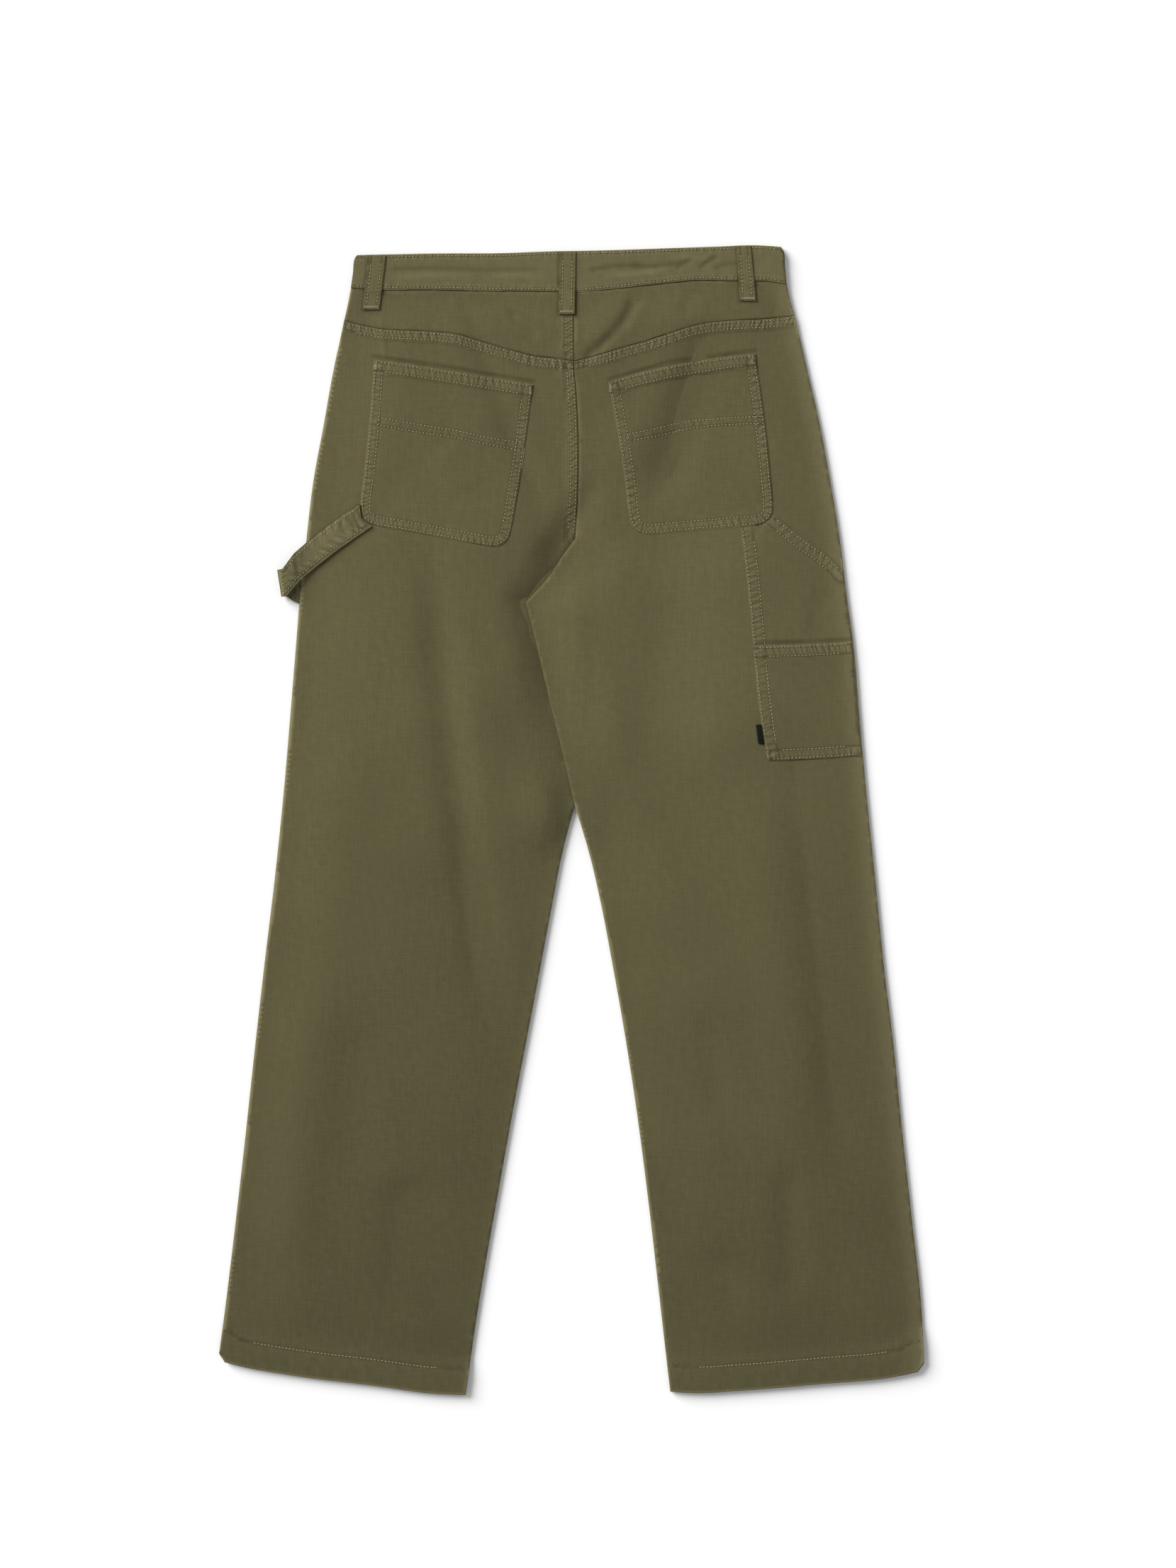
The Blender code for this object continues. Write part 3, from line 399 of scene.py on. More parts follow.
def finish_mesh(name, bm, material, sharp=None):
    """Turns a mesh that is done into an object, smooth but for the edges past a sharp angle."""
    mesh = bpy.data.meshes.new(name)
    bm.to_mesh(mesh)
    bm.free()
    mesh.shade_smooth()
    if sharp:
        mesh.set_sharp_from_angle(angle=math.radians(sharp))
    mesh.materials.append(material)
    made = bpy.data.objects.new(name, mesh)
    bpy.context.scene.collection.objects.link(made)
    return made


class Shell:
    """A copy of a solid, whose upper face is split finely and shaped."""

    def __init__(self, node, prepare=None):
        self.node = node
        self.bm = bmesh.new()
        self.bm.from_mesh(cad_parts[node].data)
        bmesh.ops.remove_doubles(self.bm, verts=self.bm.verts, dist=WELD)
        if prepare:
            prepare(self.bm)
        self.bm.normal_update()
        self.wear_and_shade = self.bm.verts.layers.float.new("wear_and_shade")
        self.outline = self.find_outline()

    def upper(self):
        return [face for face in self.bm.faces if face.normal.z > UPWARDS]

    def under(self):
        return [face for face in self.bm.faces if face.normal.z < -UPWARDS]

    def rim(self):
        """The edges between the upper face and the walls."""
        rim = []
        for edge in self.bm.edges:
            if sum(face.normal.z > UPWARDS for face in edge.link_faces) == 1:
                rim.append(edge)
        return rim

    def find_outline(self):
        """The upper face's outline as one closed smooth line, counter-clockwise, with its corners kept."""
        links = {}
        for edge in self.rim():
            for vert in edge.verts:
                links.setdefault(vert, []).append(edge.other_vert(vert))
        rings = []
        while links:
            here = next(iter(links))
            ring = []
            while here in links:
                ring.append((here.co.x / MM, here.co.y / MM))
                ahead = [v for v in links.pop(here) if v in links]
                here = ahead[0] if ahead else None
            rings.append(np.array(ring))
        areas = []
        for ring in rings:
            after = np.roll(ring, -1, axis=0)
            areas.append(0.5 * float((ring[:, 0] * after[:, 1] - ring[:, 1] * after[:, 0]).sum()))
        k = int(np.argmax(np.abs(areas)))
        ring = rings[k] if areas[k] > 0 else rings[k][::-1]
        closer = []
        for start, end in zip(ring, np.roll(ring, -1, axis=0)):
            cuts = max(1, math.ceil(np.linalg.norm(end - start) / LONG_SIDE))
            closer += [start + (end - start) * cut / cuts for cut in range(cuts)]
        ring = np.array(closer)
        ways = np.roll(ring, -1, axis=0) - ring
        ways /= np.linalg.norm(ways, axis=1)[:, None]
        turns = np.arccos(np.clip((ways * np.roll(ways, 1, axis=0)).sum(1), -1, 1))
        corners = np.flatnonzero(turns > CORNER_TURN)
        if not len(corners):
            corners = np.array([0])
        ring = np.roll(ring, -corners[0], axis=0)
        corners = [*(corners - corners[0]), len(ring)]
        ring = np.vstack([ring, ring[:1]])
        runs = [curve_through(ring[a : b + 1])[:-1] for a, b in zip(corners, corners[1:])]
        closed = np.vstack(runs)
        return Line(np.vstack([closed, closed[:1]]))

    def run(self, start, end):
        """The outline counter-clockwise, from its point nearest start to the one nearest end."""
        points = self.outline.points[:-1]
        a = int(np.argmin(np.hypot(points[:, 0] - start[0], points[:, 1] - start[1])))
        b = int(np.argmin(np.hypot(points[:, 0] - end[0], points[:, 1] - end[1])))
        count = (b - a) % len(points)
        return Line(np.roll(points, -a, axis=0)[: count + 1])

    def split(self, edges, side):
        """Halves edges, and cuts the faces of one side back to triangles."""
        bmesh.ops.subdivide_edges(self.bm, edges=edges, cuts=1)
        self.bm.normal_update()
        wide = [face for face in side() if len(face.verts) > 3]
        bmesh.ops.triangulate(self.bm, faces=wide, quad_method="SHORT_EDGE", ngon_method="BEAUTY")

    def refine(self, coarse, fine, lines):
        """Splits the upper face: fine within each line's reach of it, and coarser away from it."""
        for _ in range(9):
            self.bm.normal_update()
            self.bm.verts.index_update()
            edges = list(dict.fromkeys(edge for face in self.upper() for edge in face.edges))
            spots = np.array([v.co[:2] for v in self.bm.verts]) / MM
            ends = np.array([(e.verts[0].index, e.verts[1].index) for e in edges])
            span = np.array([e.calc_length() for e in edges]) / MM
            middle = 0.5 * (spots[ends[:, 0]] + spots[ends[:, 1]])
            wanted = np.full(len(edges), coarse)
            unsure = np.flatnonzero((span > LONGER * fine) & (span < LONGER * coarse))
            if len(unsure):
                over = np.full(len(unsure), 1e9)
                for line, reach in lines:
                    over = np.minimum(over, line.measure(middle[unsure], reach + 16)[0] - reach)
                wanted[unsure] = np.clip(fine + 0.22 * over, fine, coarse)
            long = np.flatnonzero(span > LONGER * wanted)
            if not len(long):
                break
            self.split([edges[k] for k in long], self.upper)
        self.bm.normal_update()

    def refine_under(self, coarse):
        """Splits the underside evenly, so that it follows the folds as the upper face does."""
        for _ in range(6):
            self.bm.normal_update()
            edges = dict.fromkeys(edge for face in self.under() for edge in face.edges)
            long = [edge for edge in edges if edge.calc_length() > LONGER * coarse]
            if not long:
                break
            self.split(long, self.under)

    def relax(self, rounds):
        """Smooths the upper face's heights, so that the solid's facets don't show."""
        fixed = {v for edge in self.rim() for v in edge.verts}
        free = list({v for face in self.upper() for v in face.verts} - fixed)
        for _ in range(rounds):
            bmesh.ops.smooth_vert(self.bm, verts=free, factor=0.5, use_axis_z=True)

    def ease_rim(self):
        """Moves the rim's points onto the smooth outline."""
        rim = list({v for edge in self.rim() for v in edge.verts})
        spots = np.array([v.co[:2] for v in rim]) / MM
        away, along = self.outline.measure(spots)
        places, _ = self.outline.at(along)
        for vert, gap, place in zip(rim, away, places):
            if gap < 2.5:
                vert.co.x, vert.co.y = place * MM


def joined(*runs):
    """Every third point of some outline runs, one after the other."""
    return np.vstack([run.points[::3] for run in runs])


class Drape:
    """How the garment lies: the air between its layers, the large folds and a fine swell."""

    def __init__(self):
        shells = [Shell(node) for node in ("yoke_left", "yoke_right", "back_left", "back_right")]
        yoke_left, yoke_right, left, right = shells
        outer_left = joined(yoke_left.run((-205, 491), (-211, 461)), left.run(LEFT_SIDE_TOP, LEFT_HEM_OUT))
        outer_right = joined(
            right.run(RIGHT_HEM_OUT, RIGHT_SIDE_TOP), yoke_right.run((205, 466), (199, 494))
        )
        band = joined(yoke_right.run((199, 494), (1.7, 487)), yoke_left.run((1, 487), (-205, 491)))
        self.lit = {True: Line(outer_left), False: right.run(LEGS_PART_RIGHT, RIGHT_HEM_IN)}
        self.far = {True: left.run(LEFT_HEM_IN, LEGS_PART_LEFT), False: Line(outer_right)}
        self.hem = {True: left.run(LEFT_HEM_OUT, LEFT_HEM_IN), False: right.run(RIGHT_HEM_IN, RIGHT_HEM_OUT)}
        self.band = Line(band[::-1])
        self.outer_left = outer_left[::-1]
        self.valley = Line(VALLEY)
        self.fold_length = float(self.valley.measure(np.array([[2.8, FOLD_TOP_Y]]))[1][0])
        for shell in shells:
            shell.bm.free()

    def height(self, where, left):
        """The rise over the solids, with the folds of one half."""
        left = bool(left)
        x, y = where[:, 0], where[:, 1]
        edges = (self.lit[left], self.far[left], self.hem[left], self.band)
        lit, far, hem, band = (line.measure(where, FAR_RAMP)[0] for line in edges)
        covered = (y < np.interp(x, self.band.points[:, 0], self.band.points[:, 1])).astype(float)
        if left:
            covered *= x > np.interp(y, self.outer_left[:, 1], self.outer_left[:, 0])
        # The air ends in ramps at the edges, and the one at the left leg's inner edge is steep.
        part = mound(where, *PART) if left else np.zeros(len(x))
        share = np.clip(far / (FAR_RAMP * (1 - (1 - PART_RAMP) * part)), 0, 1)
        inner = smooth(share) * (1 - part) + (1 - (1 - share) ** 2) * part
        inner *= smooth(lit / LIT_RAMP) * smooth(hem / HEM_RAMP) * smooth(band / BAND_RAMP)
        # It ends at the valley as well, and less and less so above the fold's top.
        away, along = self.valley.measure(where, FAR_RAMP)
        beyond = x > np.interp(y, [p[1] for p in VALLEY], [p[0] for p in VALLEY])
        rest = self.valley.length - self.fold_length
        held = 1 - smooth((along - self.fold_length) / rest)
        share = np.clip(away / np.where(beyond, HIGH_RAMP, LOW_RAMP), 0, 1)
        inner *= 1 - held * np.where(beyond, 1 - smooth(share), (1 - share) ** 2)
        bulge = mound(where, *CROTCH) * (1 - 0.6 * smooth(x / 25))
        at_hem = smooth((-300 - y) / 170)
        air = AIR * (1 - HEM_AIR * at_hem) + CROTCH_AIR * bulge + 0.3 * ripple(where, 55.0, 11)
        if left:
            air += PART_AIR * mound(where, *PART_SWELL)
        # The folds begin a little way in, and those of a half's own table stop at the seat seam.
        gate = smooth(lit / FOLD_RAMP) * smooth(far / FOLD_RAMP) * smooth(hem / FOLD_RAMP)
        gate *= smooth(band / FOLD_SEAM_RAMP) * (1 - held * (1 - smooth(away / FOLD_SEAM_RAMP)))
        seat = 1 - (1 - smooth(np.abs(x - 3) / 16)) * smooth((y - 250) / 20)
        own = LEFT_FOLDS if left else RIGHT_FOLDS
        total = inner * air + gate * (seat * folded(where, own) + folded(where, SEAT_FOLDS))
        # Troughs flatten out on the solid's face instead of going through it.
        total = 0.5 * (total + np.sqrt(total * total + 0.3)) * covered * smooth(lit / 8)
        if left:
            total[beyond & (y < FOLD_TOP_Y)] = 0.0
        return total

    def wear_and_shade(self, where, left):
        """How its lie marks the cloth: rubbed pale at its edges, paler over a wider zone along the far side
        and on the right thigh, and darkened with painted shade in the hollow beside the fold's corner.
        """
        left = bool(left)
        lines = (self.lit[left], self.far[left], self.hem[left])
        away = np.min([line.measure(where, 4.0)[0] for line in lines], axis=0)
        far = self.far[left].measure(where, 45.0)[0]
        if left:
            wide = 0.12 * np.exp(-((far / 7) ** 2)) * (1 - mound(where, *PART))
            # Painted shade in the hollow beside the fold's corner.
            change = -0.32 * mound(where, *PAINTED_HOLLOW_SHADE)
        else:
            wide = 0.4 * np.exp(-((far / 12) ** 2))
            change = 0.12 * mound(where, *PALER_RIGHT_THIGH)
        return EDGE_WEAR * (np.clip(1 - away / 2.4, 0, 1) + wide) + change


@functools.cache
def garment_drape():
    """The one drape that all the pieces share."""
    return Drape()


def drift(along, step, seed):
    """A slow random change from -1 to 1 along a seam."""
    knots = np.arange(int(along.max() / step) + 4) * step
    return np.interp(along, knots, np.random.default_rng(seed).uniform(-1, 1, len(knots)))


def puckered(away, along, width, pitch, lean, seed):
    """Ripples across a seam that has shrunk, as uneven ridges about a pitch apart, from -1 to 1."""
    near = np.flatnonzero(away < 1.7 * width)
    total = np.zeros(len(near))
    wave = np.zeros(len(away))
    if not len(near):
        return wave
    off, far = away[near], along[near]
    rng = np.random.default_rng(seed)
    for _ in range(PUCKER_WAVES):
        number = 2 * math.pi / (pitch * rng.uniform(0.65, 2.1))
        slant = number * lean + rng.normal(0, 2.6 / width)
        total += np.cos(number * far + slant * off + rng.uniform(0, 2 * math.pi))
    total *= math.sqrt(2 / PUCKER_WAVES)
    reach = width * (0.8 + 0.25 * drift(far, 2.5 * pitch, seed + 1))
    window = smooth(off / 1.2) * (1 - smooth((off - 0.75 * reach) / (0.6 * reach)))
    wave[near] = window * np.tanh(total) * (0.75 + 0.25 * drift(far, 4 * pitch, seed + 2))
    return wave


def add_node(tree, kind, inputs=None, **choices):
    """Adds a node with its choices, and sets or links its inputs."""
    made = tree.nodes.new(kind)
    for name, value in choices.items():
        setattr(made, name, value)
    for name, value in (inputs or {}).items():
        if isinstance(value, bpy.types.NodeSocket):
            tree.links.new(value, made.inputs[name])
        else:
            made.inputs[name].default_value = value
    return made


def new_material(name, **sockets):
    made = bpy.data.materials.new(name)
    made.use_nodes = True
    shader = made.node_tree.nodes["Principled BSDF"]
    for socket, value in sockets.items():
        shader.inputs[socket.replace("_", " ")].default_value = value
    return made, made.node_tree, shader


def noise(tree, place, scale, detail):
    """A noise pattern's grey value."""
    inputs = {"Vector": place, "Scale": scale, "Detail": detail}
    return add_node(tree, "ShaderNodeTexNoise", inputs).outputs[0]


def reckon(tree, operation, *values, clamp=False):
    """The result of an operation on sockets or numbers."""
    inputs = dict(enumerate(values))
    return add_node(tree, "ShaderNodeMath", inputs, operation=operation, use_clamp=clamp).outputs[0]


def tint(colour, factor=1.0):
    """A colour made deeper or paler, as a shader takes it."""
    return (*(c * factor for c in colour), 1)


def mixed(tree, share, low, high):
    """The colour between two others at a share."""
    inputs = {"Factor": share, "A": low, "B": high}
    return add_node(tree, "ShaderNodeMix", inputs, data_type="RGBA").outputs["Result"]


def bump(tree, height, strength, depth, **under):
    """Normals of a relief whose depth is in millimetres, laid over an earlier one's if given."""
    inputs = {"Height": height, "Strength": strength, "Distance": depth * MM, **under}
    return add_node(tree, "ShaderNodeBump", inputs).outputs[0]


def canvas_material():
    """Garment-washed cotton canvas: matt and unevenly dyed, pale where rubbed, darkened with painted shade in
    pits, grooves and towards the hems, with slubs and a weave.
    """
    if "washed_canvas" in bpy.data.materials:
        return bpy.data.materials["washed_canvas"]
    s = settings()
    made, tree, shader = new_material(
        "washed_canvas", Roughness=0.94, Sheen_Weight=0.03, Sheen_Roughness=0.5, Specular_IOR_Level=0.12
    )
    place = add_node(tree, "ShaderNodeTexCoord").outputs["Object"]
    slubs = []
    for scale in ((620, 60, 60), (60, 620, 60)):
        stretched = add_node(tree, "ShaderNodeMapping", {"Vector": place, "Scale": scale}).outputs[0]
        slubs.append(noise(tree, stretched, 1.0, 2.0))
    # Uneven dye over a hand's breadth, a mottle of a centimetre or two, specks of 2 mm, and slubs.
    total = 0.5
    for source, weight in (
        (noise(tree, place, 9.0, 3.0), 0.26),
        (noise(tree, place, 75.0, 4.0), 0.06),
        (noise(tree, place, 520.0, 2.0), 0.34),
        (slubs[0], 0.27),
        (slubs[1], 0.2),
    ):
        total = reckon(tree, "MULTIPLY_ADD", reckon(tree, "SUBTRACT", source, 0.5), weight, total)
    cloth = mixed(tree, total, tint(s.canvas, 0.62), tint(s.canvas, 1.42))
    wear_and_shade = add_node(tree, "ShaderNodeAttribute", attribute_name="wear_and_shade").outputs["Fac"]
    # Above 0 the cloth is rubbed paler; below 0 it is darkened with painted shade.
    pale = mixed(tree, reckon(tree, "MULTIPLY", wear_and_shade, 0.8, clamp=True), cloth, tint(s.worn))
    shaded = mixed(tree, reckon(tree, "MULTIPLY", wear_and_shade, -0.8, clamp=True), pale, tint(s.shaded))
    # Painted shade: the colour darkens towards the hems, from the thigh down to the hem at y = -0.5 m.
    height = add_node(tree, "ShaderNodeSeparateXYZ", {0: place}).outputs["Y"]
    span = {"Value": height, "From Min": -0.5, "From Max": 0.1, "To Min": s.painted_hem_shade, "To Max": 1.0}
    painted_falloff = add_node(tree, "ShaderNodeMapRange", span).outputs[0]
    final = add_node(tree, "ShaderNodeVectorMath", {0: shaded, "Scale": painted_falloff}, operation="SCALE").outputs[0]
    tree.links.new(final, shader.inputs["Base Color"])
    # The real threads are about 0.5 mm apart. They are drawn twice as coarse, so that they show.
    waves = {"Vector": place, "Scale": 2 * math.pi / (20 * s.weave)}
    bands = {"wave_type": "BANDS", "wave_profile": "SIN"}
    warp, weft = (
        add_node(tree, "ShaderNodeTexWave", waves, bands_direction=way, **bands).outputs["Fac"]
        for way in "XY"
    )
    normal = bump(tree, reckon(tree, "MULTIPLY", warp, weft), 0.25, 0.12)
    normal = bump(tree, reckon(tree, "ADD", *slubs), 0.5, 0.25, Normal=normal)
    normal = bump(tree, noise(tree, place, 110.0, 5.0), 0.06, 0.4, Normal=normal)
    tree.links.new(normal, shader.inputs["Normal"])
    return made


def thread_material():
    """Spun cotton sewing thread, dyed with the cloth: matt and a little paler than it."""
    if "cotton_thread" in bpy.data.materials:
        return bpy.data.materials["cotton_thread"]
    s = settings()
    made, tree, shader = new_material("cotton_thread", Roughness=0.8, Sheen_Weight=0.1)
    place = add_node(tree, "ShaderNodeTexCoord").outputs["Object"]
    colour = mixed(tree, noise(tree, place, 130.0, 2.0), tint(s.thread, 0.7), tint(s.thread, 1.25))
    tree.links.new(colour, shader.inputs["Base Color"])
    return made


def tab_material():
    """Close-woven polyester tape: black and nearly matt, with faint ribs 0.8 mm apart."""
    s = settings()
    made, tree, shader = new_material("woven_tape", Roughness=0.75, Specular_IOR_Level=0.12)
    place = add_node(tree, "ShaderNodeTexCoord").outputs["Object"]
    waves = {"Vector": place, "Scale": 390.0}
    rib = add_node(tree, "ShaderNodeTexWave", waves, bands_direction="Y").outputs["Fac"]
    colour = mixed(tree, rib, tint(s.tab, 0.75), tint(s.tab, 1.5))
    tree.links.new(colour, shader.inputs["Base Color"])
    tree.links.new(bump(tree, rib, 0.4, 0.1), shader.inputs["Normal"])
    return made


def brass_material():
    """Stamped brass with a dull antique finish: metallic, brushed by handling."""
    s = settings()
    made, tree, shader = new_material("antique_brass", Metallic=1.0)
    place = add_node(tree, "ShaderNodeTexCoord").outputs["Object"]
    tarnish = noise(tree, place, 420.0, 4.0)
    tree.links.new(mixed(tree, tarnish, tint(s.brass, 0.5), tint(s.brass)), shader.inputs["Base Color"])
    rough = add_node(tree, "ShaderNodeMapRange", {"Value": tarnish, "To Min": 0.3, "To Max": 0.55}).outputs[0]
    tree.links.new(rough, shader.inputs["Roughness"])
    return made


def keep(piece, slot, *nodes):
    """Makes a finished piece ride on the garment and stand for its solids."""
    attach(piece, "root")
    if nodes:
        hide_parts(*nodes)
    return piece


def meet(surface, place):
    """Where a plan point lies on a surface seen from above, and the normal there, or None twice."""
    return surface.ray_cast(Vector((place[0] * MM, place[1] * MM, 0.1)), DOWN)[:2]


def add_stitch(thread, hit, normal, way, radii, lift):
    """Adds one stitch: a long bead that lies on the surface along a plan direction."""
    along = Vector((*way, 0))
    along = (along - along.dot(normal) * normal).normalized()
    turned = Matrix((normal.cross(along), normal, along)).transposed().to_4x4()
    where = Matrix.Translation(hit + normal * lift) @ turned @ Matrix.Diagonal((*radii, 1))
    bmesh.ops.create_uvsphere(thread, u_segments=6, v_segments=4, radius=1.0, matrix=where)


def sew(thread, surface, row, seed):
    """Adds a row of stitches to a mesh of thread, each lying along the row on a surface."""
    s = settings()
    rng = random.Random(seed)
    pitch = s.stitch_pitch / MM
    width = s.thread_width
    for k in range(int(row.length / pitch)):
        place, way = row.at(np.array([(k + 0.5 + rng.uniform(-0.06, 0.06)) * pitch]))
        hit, normal = meet(surface, place[0])
        if hit is None:
            continue
        turn = rng.uniform(-0.09, 0.09)
        along = (way[0, 0] - turn * way[0, 1], way[0, 1] + turn * way[0, 0])
        radii = (0.5 * width, 0.42 * width, 0.5 * s.stitch_length * rng.uniform(0.9, 1.1))
        add_stitch(thread, hit, normal, along, radii, 0.12 * width)


def bar_tack(thread, surface, start, end, seed, reach=2.6):
    """Adds a close zigzag of short stitches across the line from start to end."""
    rng = random.Random(seed)
    width = settings().thread_width
    line = Line([start, end])
    count = int(line.length / 0.9)
    for k in range(count):
        place, way = line.at(np.array([(k + 0.5) * line.length / count]))
        hit, normal = meet(surface, place[0])
        if hit is None:
            continue
        turn = rng.uniform(0.12, 0.3) * (-1) ** k
        along = (-way[0, 1] + turn * way[0, 0], way[0, 0] + turn * way[0, 1])
        add_stitch(thread, hit, normal, along, (0.4 * width, 0.4 * width, 0.5 * reach * MM), 0.15 * width)


def groove(away):
    """How far a row of stitches draws the cloth in beside it, from 0 to 1."""
    return np.exp(-((away / GROOVE) ** 2))


def shape_seams(piece, lines, where, height, wear_and_shade):
    """Adds the seams' ridges, puckers, rubbed edges, painted shade and rows to a piece's heights and to its
    wear and painted shade.
    """
    for number, (seam, run) in enumerate(zip(piece.seams, lines)):
        away, along = run.measure(where, 2 * seam.width)
        seed = len(piece.node) * 100 + number
        band = (1 - smooth((away - seam.width + 1) / 1.6)) * (away < 1e8)
        height += seam.ridge * band
        if seam.height:
            wave = puckered(away, along, seam.width, seam.pitch, seam.lean, seed)
            height += seam.height * wave
            # The puckers' crests are rubbed paler and their troughs take painted shade; the seam is paler all
            # over.
            wear_and_shade += PUCKER_WEAR * seam.height * wave + SEAM_WEAR * band
        # The edge is rubbed pale where the seam's last number is positive, and takes painted shade where it
        # is negative.
        edge = np.clip(1 - away / (1.3 if seam.rub > 0 else 2.6), 0, 1)
        wear_and_shade += seam.rub * edge * (0.6 + 0.4 * drift(np.minimum(along, run.length), 6.0, seed))
        for inset in seam.rows:
            valley = groove(away - inset)
            height -= SEAM_GROOVE * valley
            # Painted shade in the row's groove.
            wear_and_shade -= GROOVE_SHADE * valley


def shape_crossings(crossings, where, height, wear_and_shade):
    """Adds the cross stitching: its rows, and the low puckered ridge between them."""
    for line in crossings:
        valley = groove(line.measure(where, 12)[0])
        height -= CROSS_GROOVE * valley
        # Painted shade in the row's groove.
        wear_and_shade -= GROOVE_SHADE * valley
    count = min(len(line.points) for line in crossings)
    middle = Line(0.5 * (crossings[0].points[:count] + crossings[1].points[:count]))
    away, along = middle.measure(where, 12)
    wave = puckered(away + 2.0, along, 5.0, 5.2, 0.2, 71)
    height += 0.2 * (1 - smooth((away - 2.0) / 1.6)) + 0.08 * wave
    # The puckers' crests are paler and their troughs take painted shade.
    wear_and_shade += 0.25 * wave


def make_piece(piece, drape=None, folds=(), tacks=(), prepare=None):
    """Models one cloth piece from its solid, with its seams, puckers, rolled rim and stitches."""
    s = settings()
    shell = Shell(piece.node, prepare)
    lines = [shell.run(seam.start, seam.end) for seam in piece.seams]
    crossings = [Line(curve_through(rows)) for rows in piece.crossings]
    near = [(run, min(seam.width + 2.0, 13.0)) for seam, run in zip(piece.seams, lines)]
    near += [(line, 5.0) for line in crossings]
    if drape:
        table = LEFT_FOLDS if piece.left else RIGHT_FOLDS
        near += [(fold_line(fold), fold.width) for fold in table if fold.width < FINE_FOLD]
    near += [(fold_line(fold), 2 * fold.width) for fold in folds]
    near += [(Line(points), 4.0) for points in piece.shades]
    shell.refine(s.panel_mesh / MM, s.seam_mesh / MM, near)
    # The strap comes prepared. Its lie and its edges differ from those of pieces on the garment.
    laid = prepare is None
    if piece.sunk and laid:
        shell.refine_under(s.panel_mesh)
    shell.relax(24)
    if laid:
        shell.ease_rim()
    bm = shell.bm
    upper = list({v for face in shell.upper() for v in face.verts})
    lower = list(set(bm.verts) - set(upper))
    where = np.array([v.co[:2] for v in upper]) / MM
    height = np.zeros(len(upper))
    wear_and_shade = piece.pale + 0.03 * ripple(where, 5.0, 31)
    shape_seams(piece, lines, where, height, wear_and_shade)
    if crossings:
        shape_crossings(crossings, where, height, wear_and_shade)
    # Painted shade along each shade line, where another piece's edge would shade the cloth.
    for points in piece.shades:
        away, along = Line(points).measure(where, 4.0)
        wear_and_shade -= 0.8 * np.clip(1 - away / 3.0, 0, 1) * (0.75 + 0.25 * drift(along, 14.0, len(points)))
    if piece.roll:
        reach = 1.2 + 4 * piece.roll
        away, _ = shell.outline.measure(where, 2 * reach)
        height -= piece.roll * np.clip(1 - away / reach, 0, 1) ** 2
    if folds:
        creases = folded(where, folds)
        height += creases + 0.05 * ripple(where, 9.0, 51)
        # The creases' troughs take painted shade, and their ridges are made paler.
        wear_and_shade += 0.6 * creases
    if drape:
        height += drape.height(where, piece.left)
        spots = np.array([v.co[:2] for v in lower]) / MM
        for vert, rise in zip(lower, drape.height(spots, piece.left)):
            vert.co.z = max(vert.co.z + rise * MM, 0.0)
        if laid:
            wear_and_shade += drape.wear_and_shade(where, piece.left)
    height -= piece.sunk
    for vert in lower:
        vert.co.z -= max(piece.sunk - PRESSED, 0.0) * MM
    for vert, rise, rub in zip(upper, height, wear_and_shade):
        vert.co.z += rise * MM
        vert[shell.wear_and_shade] = rub
    bm.normal_update()
    surface = BVHTree.FromBMesh(bm)
    thread = bmesh.new()
    for number, (seam, run) in enumerate(zip(piece.seams, lines)):
        for inset in seam.rows:
            sew(thread, surface, run.shifted(inset, trim=1.5 + 0.9 * inset), f"{piece.node}{number}{inset}")
    for number, line in enumerate(crossings):
        sew(thread, surface, line, f"{piece.node}cross{number}")
    for number, (start, end) in enumerate(tacks):
        bar_tack(thread, surface, start, end, f"{piece.node}tack{number}")
    made = keep(finish_mesh(piece.node + "_cloth", bm, canvas_material(), CLOTH_SHARP), "canvas", piece.node)
    if thread.verts:
        keep(finish_mesh(piece.node + "_stitches", thread, thread_material()), "canvas")
    else:
        thread.free()


# The rows of stitches of the felled seams and of the seat seam.
FELL_ROWS = (1.8, 7.4)
SEAT_ROWS = (1.6, 6.6)
BACK_LEFT = Piece(
    "back_left",
    True,
    ["front_left"],
    [
        Seam(LEFT_SEAT_TOP, LEFT_SIDE_TOP, FELL_ROWS, 10.0, 4.2, 0.24, 0.35, 0.0),
        Seam(LEFT_SEAT_FOOT, LEFT_SEAT_TOP, SEAT_ROWS, 10.0, 4.6, 0.13, 0.8, -0.45, 0.3),
        Seam(LEFT_HEM_OUT, LEFT_HEM_IN, (24.0,), 23.0, 14.0, 0.02, 0.3, 0.0),
    ],
    shades=[[(-184, 428.6), (-110, 417.5), (-36, 405)]],
)
BACK_RIGHT = Piece(
    "back_right",
    False,
    ["front_right"],
    [
        Seam(RIGHT_SIDE_TOP, RIGHT_SEAT_TOP, FELL_ROWS, 10.0, 4.2, 0.24, -0.35, 0.0),
        Seam(RIGHT_HEM_IN, RIGHT_HEM_OUT, (24.0,), 23.0, 14.0, 0.02, -0.3, 0.0),
    ],
    shades=[[(33, 407), (90, 423), (169, 434)]],
)
YOKE_LEFT = Piece(
    "yoke_left",
    True,
    ["front_left"],
    [
        Seam(Place(1.5, 425), Place(1.5, 487), SEAT_ROWS, 9.0, 4.4, 0.13, 0.5, -0.4),
        # The yoke's foot takes painted shade along its edge.
        Seam(Place(-213, 461), Place(1.5, 425), (), 3.0, 6.0, 0.0, 0.2, 0.0, -0.6),
    ],
)
YOKE_RIGHT = Piece(
    "yoke_right",
    False,
    ["front_right"],
    # The yoke's foot takes painted shade along its edge.
    [Seam(RIGHT_SEAT_TOP, Place(209, 466), (), 3.0, 6.0, 0.0, 0.2, 0.0, -0.7)],
)
